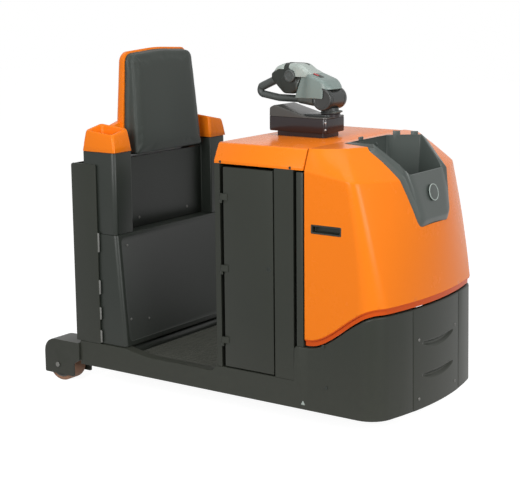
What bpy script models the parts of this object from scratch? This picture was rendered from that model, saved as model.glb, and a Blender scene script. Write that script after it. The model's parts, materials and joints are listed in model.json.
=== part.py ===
"""A stand-in electric tow tractor: one driven and steered wheel under the hood, two load wheels at the tail."""

import math

import bmesh
import bpy
from mathutils import Matrix, Vector
from mathutils.bvhtree import BVHTree

# Sizes in metres. +X is the driving direction, +Y the left side, +Z up.
fit = 0.0003  # between two pieces that touch

# The four bays, from the tail to the nose.
bay_tail = 0.425
bay_stand = 0.533
bay_battery = 0.418
bay_drive = 0.387
half_width = 0.400

# Chassis.
frame_bottom = 0.098
rail_wall = 0.050
rail_top = 0.205
step_top = 0.184
ramp_start = 0.039
ramp_foot = 0.117
ramp_end = 0.175
ramp_soft = 0.006
sill_top = 0.2097
cowl_top = 0.350
bumper_top = 0.505
nose_wall = 0.018
nose_radius = 1.375
nose_corner = 0.100
nose_draft = 0.006
nose_round = 0.006
sweep_lead = 0.024
sweep_tail = 0.053
cover_half = 0.186
cover_wall = 0.0137
cover_gap = 0.0025

# Load wheels and their housings.
load_wheel_radius = 0.078
load_wheel_width = 0.078
load_wheel_bore = 0.014
load_tread = 0.016
axle_inset = 0.078
axle_radius = 0.013
housing_length = 0.206
housing_top = 0.192
housing_bottom = 0.036
housing_proud = 0.010
housing_plate = 0.010
housing_clear = 0.100
housing_round = 0.060

# Tail: posts, rear plate, coupling.
post_x = 0.187
post_length = 0.138
post_wall = 0.008
post_top = 0.988
plate_wall = 0.008
coupling_z = 0.265
coupling_half = 0.045
coupling_mouth = 0.050
coupling_jaw = 0.015
coupling_reach = 0.087
coupling_plate = 0.015
coupling_wide = 0.140
coupling_tall = 0.170
pin_radius = 0.010
pin_clear = 0.0015
pin_length = 0.130
pin_lift = 0.090

# Back wall with its two towers.
tower_x = 0.249
tower_width = 0.112
tower_inset = 0.011
tower_split = 0.693
tower_top = 1.041
tower_round = 0.020
tower_rake = 0.038
panel_step = 0.004
panel_recess = 0.060
panel_top = 1.000
cap_height = 0.0745
cap_taper = 0.014
cap_rise_in = 0.20
cap_rise_back = 0.10
cap_rim = 0.014
cap_cup = 0.050

# Platform.
deck_bottom = 0.118
deck_top = 0.160
mat_top = 0.170
roll_height = 0.043
roll_length = 0.080
roll_lead = 0.035
roll_reach = 0.030

# Backrest.
pad_bottom = 1.010
pad_height = 0.448
pad_side = 0.167  # from the side of the truck to the pad's lower corner
pad_half_low = half_width - pad_side
pad_draw = 0.022
pad_half_high = pad_half_low - pad_draw
pad_depth = 0.0845
pad_lean = 4.6
pad_corner = 0.040
pad_crown = 0.012
shell_low = 0.050
shell_high = 0.034
shell_over = 0.005
wing_top = 1.142
wing_rise = 0.014

# Battery bay.
wall_plate = 0.006
corner_post = 0.019
post_depth = 0.028
door_x = 0.043
door_length = 0.239
door_top = 1.030
door_bottom = 0.216
door_depth = 0.020
door_skin = 0.003
door_gap = 0.0065
hinge_back = 0.008
hinge_out = 0.003
hinge_radius = 0.0045
hinge_half = 0.013
pillar_end = 0.041
battery_inset = 0.055
battery_top = 0.880
battery_clear = 0.012
lid_bottom = 1.043
lid_top = 1.122
lid_slope = 0.034
lid_wall = 0.004
trim_x = 0.029
trim_length = 0.032
trim_depth = 0.025
trim_top = 1.036

# Hood.
hood_gap = 0.0092
hood_lip_gap = 0.0068
hood_lip = 0.024
hood_lip_inset = 0.008
hood_wall = 0.004
hood_side = 0.002
hinge_x = 0.059
hinge_z = 0.380
arm_y = 0.240
arm_width = 0.020
arm_wall = 0.008
tray_back = 0.052
tray_clear = 0.0007
tray_floor = 0.945
tray_wall = 0.005
grip_x = 0.030
grip_z = 0.8215
grip_long = 0.136
grip_tall = 0.036
grip_frame = 0.006
grip_deep = 0.026

# Drive unit.
drive_x = 0.223
drive_radius = 0.115
drive_width = 0.075
drive_tread = 0.020
plate_top = 0.345
plate_thick = 0.015
plate_half = 0.220
motor_radius = 0.085
motor_height = 0.250
gear_flange = 0.105
gear_radius = 0.085
leg_half = 0.055
leg_thick = 0.036
leg_gap = 0.010
wheel_axle = 0.022

# Console and steering handle.
console_length = 0.278
console_half = 0.074
console_x = 0.042
console_base = 1.142
console_deck = 1.208
console_hump = 1.248
console_slope = 0.178
steer_x = 0.126
neck_radius = 0.040
hub_radius = 0.045
hub_half = 0.062
hub_z = 1.278
hub_back = 0.0045
body_half = 0.045
body_round = 0.010
head_half = 0.034
head_round = 0.008
head_middle = (-0.190, 1.345)
cowl_half = 0.036
grip_radius = 0.015
grip_thick = 0.0175
roller_x = -0.168
roller_z = 1.366
roller_radius = 0.026
roller_width = 0.018
roller_shaft = 0.006

# Side outlines of the handle: place ahead of the steering axis, height, corner radius.
body_line = (
    (-0.1465, 1.266, 0.006),
    (-0.0430, 1.251, 0),
    (-0.0045, 1.2700, 0),
    (0.0360, 1.2900, 0),
    (0.0375, 1.3180, 0.008),
    (-0.0015, 1.3545, 0.040),
    (-0.0665, 1.3770, 0.030),
    (-0.1085, 1.3770, 0.004),
    (-0.1163, 1.3640, 0),
    (-0.1209, 1.3420, 0),
    (-0.1433, 1.3040, 0),
)
head_line = (
    (-0.2685, 1.3520, 0.006),
    (-0.2420, 1.3240, 0.014),
    (-0.2080, 1.2920, 0.030),
    (-0.1600, 1.2920, 0.020),
    (-0.1455, 1.3017, 0),
    (-0.1217, 1.3420, 0),
    (-0.1171, 1.3640, 0),
    (-0.1097, 1.3765, 0),
    (-0.1200, 1.4000, 0.008),
    (-0.2300, 1.4000, 0.030),
    (-0.2685, 1.3720, 0.008),
)
cowl_line = (
    (-0.2710, 1.3700, 0),
    (-0.2640, 1.3800, 0),
    (-0.2400, 1.3970, 0),
    (-0.2240, 1.4004, 0),
    (-0.1200, 1.4004, 0),
    (-0.1085, 1.3774, 0),
    (-0.0640, 1.3774, 0),
    (-0.0820, 1.4010, 0.020),
    (-0.1150, 1.4165, 0.020),
    (-0.2050, 1.4165, 0.030),
    (-0.2520, 1.3960, 0.020),
    (-0.2760, 1.3720, 0.003),
)
grip_path = (
    (-0.1468, 1.2705, 0),
    (-0.2500, 1.2705, 0.050),
    (-0.3880, 1.2910, 0.0168),
    (-0.2180, 1.3660, 0),
)

# Storage tray: half width, place up the slope, corner radius.
slope_foot = 0.353
tray_plan = ((0.116, 0.348, 0.034), (0.178, 0.513, 0.020), (0.213, 0.677, 0.014), (0.163, 0.790, 0.006))
basin_half = ((0.051, 0.142, 0.012), (0.178, 0.190, 0.012), (0.300, 0.132, 0.016))
basin_bow = 0.011
tab_reach = 0.017
tray_proud = 0.016
tray_proud_top = 0.004
tray_chamfer = 0.011
tray_wall_inset = 0.002
tray_foot = 0.006
middle_slope = 0.57
basin_reach = 0.11
basin_side = 0.17
tab_half = 0.015
tab_wall = 0.006
tab_root = 0.020

# Stations along X.
tail = -(bay_tail + bay_stand + bay_battery + bay_drive) / 2
back = tail + bay_tail
bay = back + bay_stand
seam = bay + bay_battery
nose = seam + bay_drive

axle_x = tail + axle_inset
rail_start = tail + housing_length + fit
drive_centre = nose - drive_x
steer_centre = seam - steer_x

for old in list(bpy.data.objects):
    bpy.data.objects.remove(old)


# Materials.
def paint(name, colour, rough, metal=0.0):
    made = bpy.data.materials.new(name)
    made.use_nodes = True
    shader = made.node_tree.nodes["Principled BSDF"]
    shader.inputs["Base Color"].default_value = (*colour, 1)
    shader.inputs["Roughness"].default_value = rough
    shader.inputs["Metallic"].default_value = metal
    made.diffuse_color = (*colour, 1)
    return made


orange = paint("orange_paint", (0.86, 0.20, 0.012), 0.35)
frame_black = paint("frame_paint", (0.050, 0.052, 0.044), 0.5)
moulded = paint("moulded_black", (0.034, 0.040, 0.038), 0.45)
tray_grey = paint("tray_grey", (0.090, 0.110, 0.105), 0.5)
handle_grey = paint("handle_grey", (0.20, 0.25, 0.245), 0.4)
cowl_grey = paint("cowl_grey", (0.52, 0.58, 0.56), 0.4)
rubber = paint("platform_rubber", (0.028, 0.032, 0.026), 0.8)
cushion = paint("cushion_cover", (0.045, 0.052, 0.047), 0.55)
tread = paint("brown_tread", (0.30, 0.10, 0.03), 0.6)
steel = paint("bare_steel", (0.45, 0.45, 0.44), 0.35, 1.0)
cast = paint("cast_housing", (0.10, 0.10, 0.10), 0.6)


# Building blocks.
def make(name, verts, faces, material, parent=None, origin=None):
    """One object from world coordinates, its origin on the joint axis where it has one."""
    pivot = Vector(origin or (parent.location if parent else (0, 0, 0)))
    mesh = bpy.data.meshes.new(name)
    form = bmesh.new()
    points = [form.verts.new(Vector(v) - pivot) for v in verts]
    for face in faces:
        form.faces.new([points[i] for i in face])
    bmesh.ops.recalc_face_normals(form, faces=form.faces)
    form.to_mesh(mesh)
    form.free()
    obj = bpy.data.objects.new(name, mesh)
    bpy.context.scene.collection.objects.link(obj)
    mesh.materials.append(material)
    if parent:
        obj.parent = parent
    else:
        obj.location = pivot
    return obj


def axis_at(name, place):
    empty = bpy.data.objects.new(name, None)
    empty.location = place
    empty.empty_display_size = 0.05
    bpy.context.scene.collection.objects.link(empty)
    return empty


def loft(rings, caps=True, loop=False):
    """Skin through rings of equal length; each ring is a closed outline."""
    size = len(rings[0])
    verts = [p for ring in rings for p in ring]
    faces = []
    steps = len(rings) if loop else len(rings) - 1
    for k in range(steps):
        low, high = k * size, ((k + 1) % len(rings)) * size
        for i in range(size):
            j = (i + 1) % size
            faces.append((low + i, low + j, high + j, high + i))
    if caps and not loop:
        faces.append(tuple(range(size)))
        faces.append(tuple(reversed(range(len(verts) - size, len(verts)))))
    return verts, faces


def along(axis, a, b, t):
    """A point at t on one axis, from the two others in order."""
    return {"X": (t, a, b), "Y": (a, t, b), "Z": (a, b, t)}[axis]


def prism(outline, axis, low, high):
    return loft([[along(axis, a, b, low) for a, b in outline], [along(axis, a, b, high) for a, b in outline]])


def block(x0, x1, y0, y1, z0, z1):
    return prism([(x0, y0), (x1, y0), (x1, y1), (x0, y1)], "Z", z0, z1)


def circle(cx, cy, radius, steps, start=0.0):
    return [
        (cx + radius * math.cos(start + 2 * math.pi * k / steps), cy + radius * math.sin(start + 2 * math.pi * k / steps))
        for k in range(steps)
    ]


def turned(profile, axis, a, b, steps=36, loop=False):
    """Turns a profile of (radius, place on the axis) about an axis through (a, b)."""
    rings = [[along(axis, p, q, place) for p, q in circle(a, b, radius, steps)] for radius, place in profile]
    return loft(rings, loop=loop)


def rounded(corners, steps=4):
    """A closed outline from (x, y, radius) corners."""
    out = []
    count = len(corners)
    for k, (x, y, radius) in enumerate(corners):
        here = Vector((x, y))
        if radius <= 0:
            out.append((x, y))
            continue
        before = (Vector(corners[k - 1][:2]) - here).normalized()
        after = (Vector(corners[(k + 1) % count][:2]) - here).normalized()
        half = before.angle(after) / 2
        reach = radius / math.tan(half)
        centre = here + (before + after).normalized() * radius / math.sin(half)
        first, last = here + before * reach - centre, here + after * reach - centre
        turn = math.atan2(first.x * last.y - first.y * last.x, first.dot(last))
        for s in range(steps + 1):
            p = centre + Matrix.Rotation(turn * s / steps, 2) @ first
            out.append((p.x, p.y))
    return out


def smooth(t):
    t = max(0.0, min(1.0, t))
    return t * t * (3 - 2 * t)


def boolean(target, shape, how="DIFFERENCE"):
    """Applies a shape as a Boolean; the helper stays in the file as a wire."""
    tool = make(f"{target.name}.{how.lower()}.{len(target.modifiers)}", *shape, target.data.materials[0], target.parent, None if target.parent else target.location)
    tool.hide_render = True
    tool.display_type = "WIRE"
    step = target.modifiers.new(how.title(), "BOOLEAN")
    step.object = tool
    step.operation = how
    step.solver = "EXACT"
    return tool


def bevel(obj, width, segments=2, angle=30):
    step = obj.modifiers.new("Edge", "BEVEL")
    step.width = width
    step.segments = segments
    step.limit_method = "ANGLE"
    step.angle_limit = math.radians(angle)
    step.harden_normals = False


def solidify(obj, wall):
    step = obj.modifiers.new("Wall", "SOLIDIFY")
    step.thickness = wall
    step.offset = -1
    step.use_even_offset = True
    step.use_rim = True


def soften(obj, angle=35):
    obj.data.shade_smooth()
    obj.data.set_sharp_from_angle(angle=math.radians(angle))


def mirrored(shape):
    """The same shape on the left side."""
    verts, faces = shape
    return [(x, -y, z) for x, y, z in verts], [tuple(reversed(f)) for f in faces]


def pair(name, shape, material, finish=None):
    """The right piece and its left twin."""
    for side, form in (("right", shape), ("left", mirrored(shape))):
        obj = make(f"{name}_{side}", *form, material)
        if finish:
            finish(obj, side)


# Plan outline of the nose: straight side, corner, shallow front arc.
def nose_plan(front, radius, corner, side, rear, sides, corners, fronts):
    """(x, y, outward x, outward y) from the rear of the right side to the middle of the front."""
    reach = math.sqrt((radius - corner) ** 2 - (side - corner) ** 2)
    centre_x = front - radius + reach
    turn = math.atan2(side - corner, reach)
    out = [(rear + (centre_x - rear) * k / sides, -side, 0.0, -1.0) for k in range(sides)]
    for k in range(corners + 1):
        a = -math.pi / 2 + (math.pi / 2 - turn) * k / corners
        out.append((centre_x + corner * math.cos(a), -(side - corner) + corner * math.sin(a), math.cos(a), math.sin(a)))
    for k in range(1, fronts + 1):
        a = -turn + turn * k / fronts
        out.append((front - radius + radius * math.cos(a), radius * math.sin(a), math.cos(a), math.sin(a)))
    return out


def sill(x):
    """Height of the swept edge between the chassis and the hood."""
    return cowl_top + (bumper_top - cowl_top) * smooth((x - seam - sweep_lead) / (nose - sweep_tail - seam - sweep_lead))


# Chassis frame: two rails that run on into the wall round the nose.
def frame_section(x, y, nx, ny, top, outset, wall, edge, draft):
    def at(inset, z):
        return (x - nx * inset, y - ny * inset, z)

    return [
        at(outset, frame_bottom),
        at(outset + draft, top - edge),
        at(outset + draft + 0.3 * edge, top - 0.3 * edge),
        at(outset + draft + edge, top),
        at(wall, top),
        at(wall, frame_bottom),
    ]


def frame_half():
    rail = [
        (rail_start, rail_top),
        (back + ramp_start, rail_top),
        (back + ramp_foot, step_top + ramp_soft),
        (back + ramp_end, step_top),
        (bay - 0.028, step_top),
        (bay - 0.006, sill_top),
        (seam - pillar_end, sill_top),
        (seam - pillar_end + 0.0015, cowl_top - 0.007),
        (seam - trim_x, cowl_top),
        (seam - trim_x + 0.018, cowl_top),
    ]
    rows = [frame_section(x, -half_width, 0, -1, top, 0, rail_wall, 0.004, 0) for x, top in rail]
    start = seam - trim_x + 0.020
    plan = nose_plan(nose, nose_radius, nose_corner, half_width, start, 11, 7, 1)
    for x, y, nx, ny in plan[:-1]:
        lean = nose_draft * smooth((x - start) / 0.2)
        rows.append(frame_section(x, y, nx, ny, sill(x), 0, nose_wall, nose_round, lean))
    seam_turn = math.asin((cover_half + cover_gap) / nose_radius)
    turn = math.asin(-plan[-2][1] / nose_radius)
    for a, outset, drop in (
        ((turn + seam_turn) / 2, 0, 0),
        (seam_turn, 0, 0),
        (seam_turn - 0.0004, cover_wall + fit, 0.008),
        (seam_turn * 0.66, cover_wall + fit, 0.008),
        (seam_turn * 0.33, cover_wall + fit, 0.008),
        (0, cover_wall + fit, 0.008),
    ):
        x, y = nose - nose_radius + nose_radius * math.cos(a), -nose_radius * math.sin(a)
        rows.append(
            frame_section(x, y, math.cos(a), -math.sin(a), bumper_top - drop, outset, nose_wall + outset, nose_round, nose_draft)
        )
    return rows


right_rows = frame_half()
left_rows = [[(x, -y, z) for x, y, z in row] for row in reversed(right_rows[:-1])]
frame = make("chassis_frame", *loft(right_rows + left_rows), frame_black)
soften(frame)

# Front cover between the two seams.
cover_rows = []
for k in range(13):
    a = math.asin(cover_half / nose_radius) * (k / 6 - 1)
    x, y, nx, ny = nose - nose_radius + nose_radius * math.cos(a), nose_radius * math.sin(a), math.cos(a), math.sin(a)

    def at(inset, z):
        return (x - nx * inset, y - ny * inset, z)

    cover_rows.append(
        [
            at(0, frame_bottom),
            at(nose_draft, bumper_top - nose_round),
            at(nose_draft + 0.3 * nose_round, bumper_top - 0.3 * nose_round),
            at(nose_draft + nose_round, bumper_top),
            at(cover_wall, bumper_top),
            at(cover_wall, frame_bottom),
        ]
    )
cover = make("front_cover", *loft(cover_rows), frame_black)
soften(cover)

# Deck between the rails, mat and skirting roll.
deck_side = half_width - rail_wall - fit
low_side = half_width + housing_proud - 2 * housing_plate - housing_clear - fit
deck_half = [
    (tail + post_x + plate_wall + fit, -low_side),
    (rail_start, -low_side),
    (rail_start, -deck_side),
    (bay - fit, -deck_side),
]
deck = make("platform_deck", *prism(deck_half + [(x, -y) for x, y in reversed(deck_half)], "Z", deck_bottom, deck_top), frame_black)
roll_x = back + roll_lead
mat = make("platform_mat", *block(roll_x + fit, bay - fit, -deck_side + 0.003, deck_side - 0.003, deck_top + fit, mat_top), rubber)
roll = rounded(
    [
        (roll_x - roll_length, deck_top + fit, 0),
        (roll_x, deck_top + fit, 0),
        (roll_x, deck_top + roll_height, roll_reach),
        (roll_x - roll_length, deck_top + roll_height, 0),
    ],
    6,
)
kick = make("skirting_roll", *prism(roll, "Y", -deck_side + 0.003, deck_side - 0.003), rubber)
soften(kick)

# Lower back wall, raked, with its towers and the recessed panel between them.
tower_side = half_width - tower_inset
panel_half = tower_side - tower_width


def back_plan(front):
    half = [
        (tail + tower_x, -tower_side, 0),
        (front, -tower_side, tower_round),
        (front, -panel_half, 0.006),
        (front - panel_step, -panel_half + 0.004, 0.002),
    ]
    return rounded(half + [(x, -y, r) for x, y, r in reversed(half)], 4)


lower = make(
    "lower_back_wall",
    *loft(
        [
            [(x, y, rail_top + fit) for x, y in back_plan(back + tower_rake)],
            [(x, y, tower_split - 0.003) for x, y in back_plan(back)],
        ]
    ),
    moulded,
)
soften(lower)

upper_half = [
    (tail + tower_x, -tower_side, 0),
    (back - 0.002, -tower_side, tower_round),
    (back - 0.002, -panel_half, 0.004),
    (back - panel_recess, -panel_half, 0.004),
]
upper_plan = rounded(upper_half + [(x, -y, r) for x, y, r in reversed(upper_half)], 4)
upper = make("upper_back_wall", *prism(upper_plan, "Z", tower_split - 0.003 + fit, tower_top), moulded)
boolean(upper, block(tail, back + 0.1, -panel_half - fit, panel_half + fit, panel_top, tower_top + 0.1))
soften(upper)


# Tapered caps with a cup in the top.
def cap_ring(inset, level):
    """A ring of the cap; its top slopes up to the middle and to the rear."""
    outer, inner = tower_side + 0.002 - inset * 0.6, panel_half - 0.002 + inset * 0.6
    rear, front = tail + tower_x - 0.002 + inset, back + 0.001 - inset
    ring = []
    for x, y in rounded([(rear, -outer, 0.008), (front, -outer, 0.008), (front, -inner, 0.008), (rear, -inner, 0.008)], 3):
        rise = (y + outer) * cap_rise_in + (front - x) * cap_rise_back
        ring.append((x, y, cap_base + level + rise * max(level, 0) / cap_height))
    return ring


cap_base = tower_top + fit
pair(
    "tower_cap",
    loft(
        [
            cap_ring(0, 0),
            cap_ring(cap_taper * 0.4, cap_height * 0.5),
            cap_ring(cap_taper, cap_height - 0.005),
            cap_ring(cap_taper + 0.004, cap_height),
            cap_ring(cap_taper + cap_rim, cap_height),
            cap_ring(cap_taper + cap_rim + 0.005, cap_height - cap_cup),
        ]
    ),
    orange,
    lambda obj, side: soften(obj),
)

# Side posts, the rear plate between them.
pair("side_post", block(tail + post_x, tail + post_x + post_length, -half_width, -half_width + post_wall, rail_top + fit, post_top), frame_black)
plate_side = half_width - post_wall - fit
rear_outline = [
    (-plate_side, rail_top + fit),
    (-low_side, rail_top + fit),
    (-low_side, deck_bottom),
    (low_side, deck_bottom),
    (low_side, rail_top + fit),
    (plate_side, rail_top + fit),
    (plate_side, post_top - 0.003),
    (-plate_side, post_top - 0.003),
]
make("rear_plate", *prism(rear_outline, "X", tail + post_x, tail + post_x + plate_wall), frame_black)


# Wheel housings: two plates under one rounded cover, with the axle through them.
house_out = half_width + housing_proud
house_in = house_out - 2 * housing_plate - housing_clear
house_outline = rounded(
    [
        (tail, housing_bottom, 0.006),
        (tail + housing_length - 0.037, housing_bottom, 0.004),
        (tail + housing_length - 0.037, 0.093, 0.004),
        (tail + housing_length - 0.001, 0.115, 0.004),
        (tail + housing_length, housing_top, 0.008),
        (tail, housing_top, housing_round),
    ],
    5,
)
well = rounded(
    [
        (tail - 0.05, -0.05, 0),
        (tail + housing_length + 0.05, -0.05, 0),
        (tail + housing_length + 0.05, 0.110, 0),
        (tail + housing_length - 0.008, 0.110, 0),
        (tail + housing_length - 0.008, housing_top - 0.008, 0.004),
        (tail + 0.007, housing_top - 0.008, housing_round - 0.008),
        (tail + 0.007, 0.140, 0),
        (tail - 0.05, 0.140, 0),
    ],
    5,
)


def house_finish(obj, side):
    sign = -1 if side == "right" else 1
    inner = sorted((sign * (house_out - housing_plate), sign * (house_in + housing_plate)))
    boolean(obj, prism(well, "Y", *inner))
    ends = sorted((sign * (house_out + 0.004), sign * (house_in - 0.006)))
    boolean(obj, prism(circle(axle_x, load_wheel_radius, axle_radius, 24), "Y", *ends), "UNION")
    soften(obj)


pair("wheel_housing", prism(house_outline, "Y", -house_out, -house_in), frame_black, house_finish)

# Load wheels.
wheel_y = house_out - housing_plate - housing_clear / 2
for side, sign in (("right", -1), ("left", 1)):
    hub_at = (axle_x, sign * wheel_y, load_wheel_radius)
    spin = axis_at(f"axis_load_wheel_{side}", hub_at)
    half = load_wheel_width / 2
    core = load_wheel_radius - load_tread
    low, high = sign * wheel_y - half, sign * wheel_y + half
    hub_form = turned(
        [(axle_radius + 0.001, low - 0.004), (0.030, low - 0.004), (0.032, low), (core - fit, low), (core - fit, high), (0.032, high), (0.030, high + 0.004), (axle_radius + 0.001, high + 0.004)],
        "Y",
        axle_x,
        load_wheel_radius,
        24,
        loop=True,
    )
    soften(make(f"load_wheel_hub_{side}", *hub_form, cast, spin))
    tyre_form = turned(
        [(core, low), (load_wheel_radius - 0.005, low), (load_wheel_radius, low + 0.005), (load_wheel_radius, high - 0.005), (load_wheel_radius - 0.005, high), (core, high)],
        "Y",
        axle_x,
        load_wheel_radius,
        36,
        loop=True,
    )
    soften(make(f"load_wheel_tread_{side}", *tyre_form, tread, spin))

# Tow coupling on the rear plate, and its pin.
jaw_x = tail + post_x - coupling_reach
jaw_outline = [(tail + post_x - 0.014, coupling_half)] + [
    (jaw_x + coupling_half * math.cos(a), coupling_half * math.sin(a)) for a in [math.pi / 2 + math.pi * k / 12 for k in range(13)]
] + [(tail + post_x - 0.014, -coupling_half)]
mouth_low = coupling_z - coupling_mouth / 2
mouth_high = coupling_z + coupling_mouth / 2
coupling = make(
    "tow_coupling",
    *block(tail + post_x - coupling_plate, tail + post_x - fit, -coupling_wide / 2, coupling_wide / 2, coupling_z - coupling_tall / 2, coupling_z + coupling_tall / 2),
    frame_black,
)
boolean(coupling, prism(jaw_outline, "Z", mouth_low - coupling_jaw, mouth_low), "UNION")
boolean(coupling, prism(jaw_outline, "Z", mouth_high, mouth_high + coupling_jaw), "UNION")
boolean(coupling, prism(circle(jaw_x, 0, pin_radius + pin_clear, 24), "Z", coupling_z - 0.1, coupling_z + 0.1))
lift = axis_at("axis_tow_pin", (jaw_x, 0, coupling_z))
pin_top = mouth_high + coupling_jaw + fit
pin_low = pin_top - pin_length + 0.030
pin = make(
    "tow_pin",
    *turned([(0.004, pin_low), (pin_radius, pin_low + 0.006), (pin_radius, pin_top), (0.019, pin_top), (0.019, pin_top + 0.008), (0.010, pin_top + 0.012), (0.010, pin_top + 0.030), (0.004, pin_top + 0.034)], "Z", jaw_x, 0, 24),
    steel,
    lift,
)
soften(pin)


# Backrest: cushion and the shell behind it, leaning back.
def back_outline(grow, top):
    low, high = pad_half_low + grow, pad_half_high + grow
    return rounded([(-low, 0, 0.012), (low, 0, 0.012), (high, top - pad_crown, pad_corner), (0, top, high * 4), (-high, top - pad_crown, pad_corner)], 4)


pad_rear = back - pad_depth
pad_outline = back_outline(0, pad_height)
front_ring = [(back - z * math.tan(math.radians(pad_lean)), y, pad_bottom + z) for y, z in pad_outline]
pad = make("backrest_pad", *loft([[(pad_rear, y, pad_bottom + z) for y, z in pad_outline], front_ring]), cushion)
bevel(pad, 0.012, 3, 50)
soften(pad)


def shell_ring(grow, share):
    """A ring of the shell behind the pad, its foot flat on the back wall."""
    ring = []
    for y, z in back_outline(grow, pad_height + shell_over + grow - 0.003):
        depth = shell_low + (shell_high - shell_low) * z / pad_height
        ring.append((pad_rear - fit - depth * share, y, pad_bottom + z if z > 0.012 else panel_top + fit))
    return ring


shell = make("backrest_shell", *loft([shell_ring(0.003, 0), shell_ring(0.001, 0.62), shell_ring(-0.012, 1)]), orange)
wing = panel_half - 0.0025
wings = [(wing, panel_top + fit), (wing, tower_top), (wing + 0.002, wing_top), (pad_half_low - 0.010, wing_top + wing_rise)]
wings = [(-y, z) for y, z in wings] + list(reversed(wings))
boolean(shell, prism(wings, "X", pad_rear - 0.042, pad_rear - 0.012), "UNION")
soften(shell)

# Battery bay: one welded frame of back wall, posts, bulkhead and floor.
bay_wall = bay + 0.001
inner_side = half_width - rail_wall - fit
post_side = half_width - post_depth
t_shape = [
    (-half_width, sill_top + fit),
    (-inner_side, sill_top + fit),
    (-inner_side, frame_bottom + 0.006),
    (inner_side, frame_bottom + 0.006),
    (inner_side, sill_top + fit),
    (half_width, sill_top + fit),
    (half_width, lid_bottom - fit),
    (-half_width, lid_bottom - fit),
]
bay_frame = make("battery_frame", *prism(t_shape, "X", bay_wall, bay_wall + wall_plate), frame_black)
bulk_x = seam - pillar_end - 0.014
bulk = [(max(-post_side, min(post_side, y)), z) for y, z in t_shape]
boolean(bay_frame, prism(bulk, "X", bulk_x, bulk_x + wall_plate), "UNION")
boolean(bay_frame, block(bay_wall + 0.001, bulk_x + 0.001, -inner_side, inner_side, frame_bottom + 0.006, deck_bottom), "UNION")
door_start = bay + door_x
door_end = door_start + door_length
for sign in (-1, 1):
    y0, y1 = sorted((sign * half_width, sign * post_side))
    boolean(bay_frame, block(bay_wall + 0.001, bay_wall + wall_plate + corner_post, y0, y1, sill_top + fit, lid_bottom - fit), "UNION")
    boolean(bay_frame, block(door_end + door_gap, seam - pillar_end, *sorted((sign * half_width, sign * (post_side - 0.001))), sill_top + fit, lid_bottom - fit), "UNION")
hinge_px = door_start - hinge_back
hinge_heights = (0.325, 0.621, 0.911)
for sign in (-1, 1):
    for height in hinge_heights:
        lug = rounded(
            [
                (bay_wall + wall_plate + corner_post - 0.002, sign * (half_width - 0.001), 0),
                (hinge_px, sign * (half_width - 0.001), 0),
                (hinge_px, sign * (half_width + hinge_out + 0.002), 0),
                (bay_wall + wall_plate + corner_post - 0.002, sign * (half_width + hinge_out - 0.001), 0),
            ]
        )
        boolean(bay_frame, prism(lug, "Z", height - 2 * hinge_half, height - hinge_half - fit), "UNION")
        boolean(bay_frame, prism(circle(hinge_px, sign * (half_width + hinge_out), hinge_radius, 16), "Z", height - 2 * hinge_half, height - hinge_half - fit), "UNION")

battery_side = half_width - battery_inset
battery = make(
    "battery_block",
    *block(bay_wall + wall_plate + battery_clear, bulk_x - battery_clear, -battery_side, battery_side, deck_bottom + fit, battery_top),
    cast,
)
bevel(battery, 0.006, 2)


# Battery doors: folded pans on three knuckles.
def door_form(sign):
    outer = sign * half_width
    inner = sign * (half_width - door_depth)
    mid = sign * (half_width - door_skin)
    return block(door_start, door_end, *sorted((outer, inner)), door_bottom, door_top), block(
        door_start + door_skin, door_end - door_skin, *sorted((mid, sign * (half_width - door_depth - 0.01))), door_bottom + door_skin, door_top - door_skin
    )


for side, sign in (("right", -1), ("left", 1)):
    swing = axis_at(f"axis_door_{side}", (hinge_px, sign * (half_width + hinge_out), 0.6))
    pan, hollow = door_form(sign)
    door = make(f"battery_door_{side}", *pan, frame_black, swing)
    boolean(door, hollow)
    for height in hinge_heights:
        boolean(door, prism(circle(hinge_px, sign * (half_width + hinge_out), hinge_radius, 16), "Z", height - hinge_half, height + hinge_half), "UNION")
        leaf = [
            (hinge_px, sign * (half_width + hinge_out + 0.002)),
            (hinge_px, sign * (half_width - 0.002)),
            (door_start + 0.001, sign * (half_width - 0.002)),
            (door_start + 0.020, sign * (half_width - 0.001)),
            (door_start + 0.020, sign * (half_width + 0.002)),
        ]
        boolean(door, prism(leaf, "Z", height - hinge_half, height + hinge_half), "UNION")

# Battery lid: an open-bottomed moulding.
lid_half = [(-half_width, lid_bottom), (-half_width, lid_bottom + 0.010), (-half_width + lid_slope - 0.003, lid_top - 0.007), (-half_width + lid_slope + 0.006, lid_top)]
lid_line = lid_half + [(-y, z) for y, z in reversed(lid_half)]
lid_verts = [(x, y, z) for x in (bay - 0.001, seam + 0.003) for y, z in lid_line]
count = len(lid_line)
lid_faces = [(i, i + 1, count + i + 1, count + i) for i in range(count - 1)] + [tuple(range(count)), tuple(range(2 * count - 1, count - 1, -1))]
lid = make("battery_lid", lid_verts, lid_faces, orange)
solidify(lid, lid_wall)
soften(lid, 20)

# Rounded trim posts beside the hood.
pair(
    "trim_post",
    prism(
        rounded(
            [
                (seam - trim_x, -half_width, 0.006),
                (seam - trim_x + trim_length, -half_width, 0.006),
                (seam - trim_x + trim_length, -half_width + trim_depth, 0),
                (seam - trim_x, -half_width + trim_depth, 0),
            ],
            4,
        ),
        "Z",
        cowl_top + fit,
        trim_top,
    ),
    frame_black,
    lambda obj, side: soften(obj),
)

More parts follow.
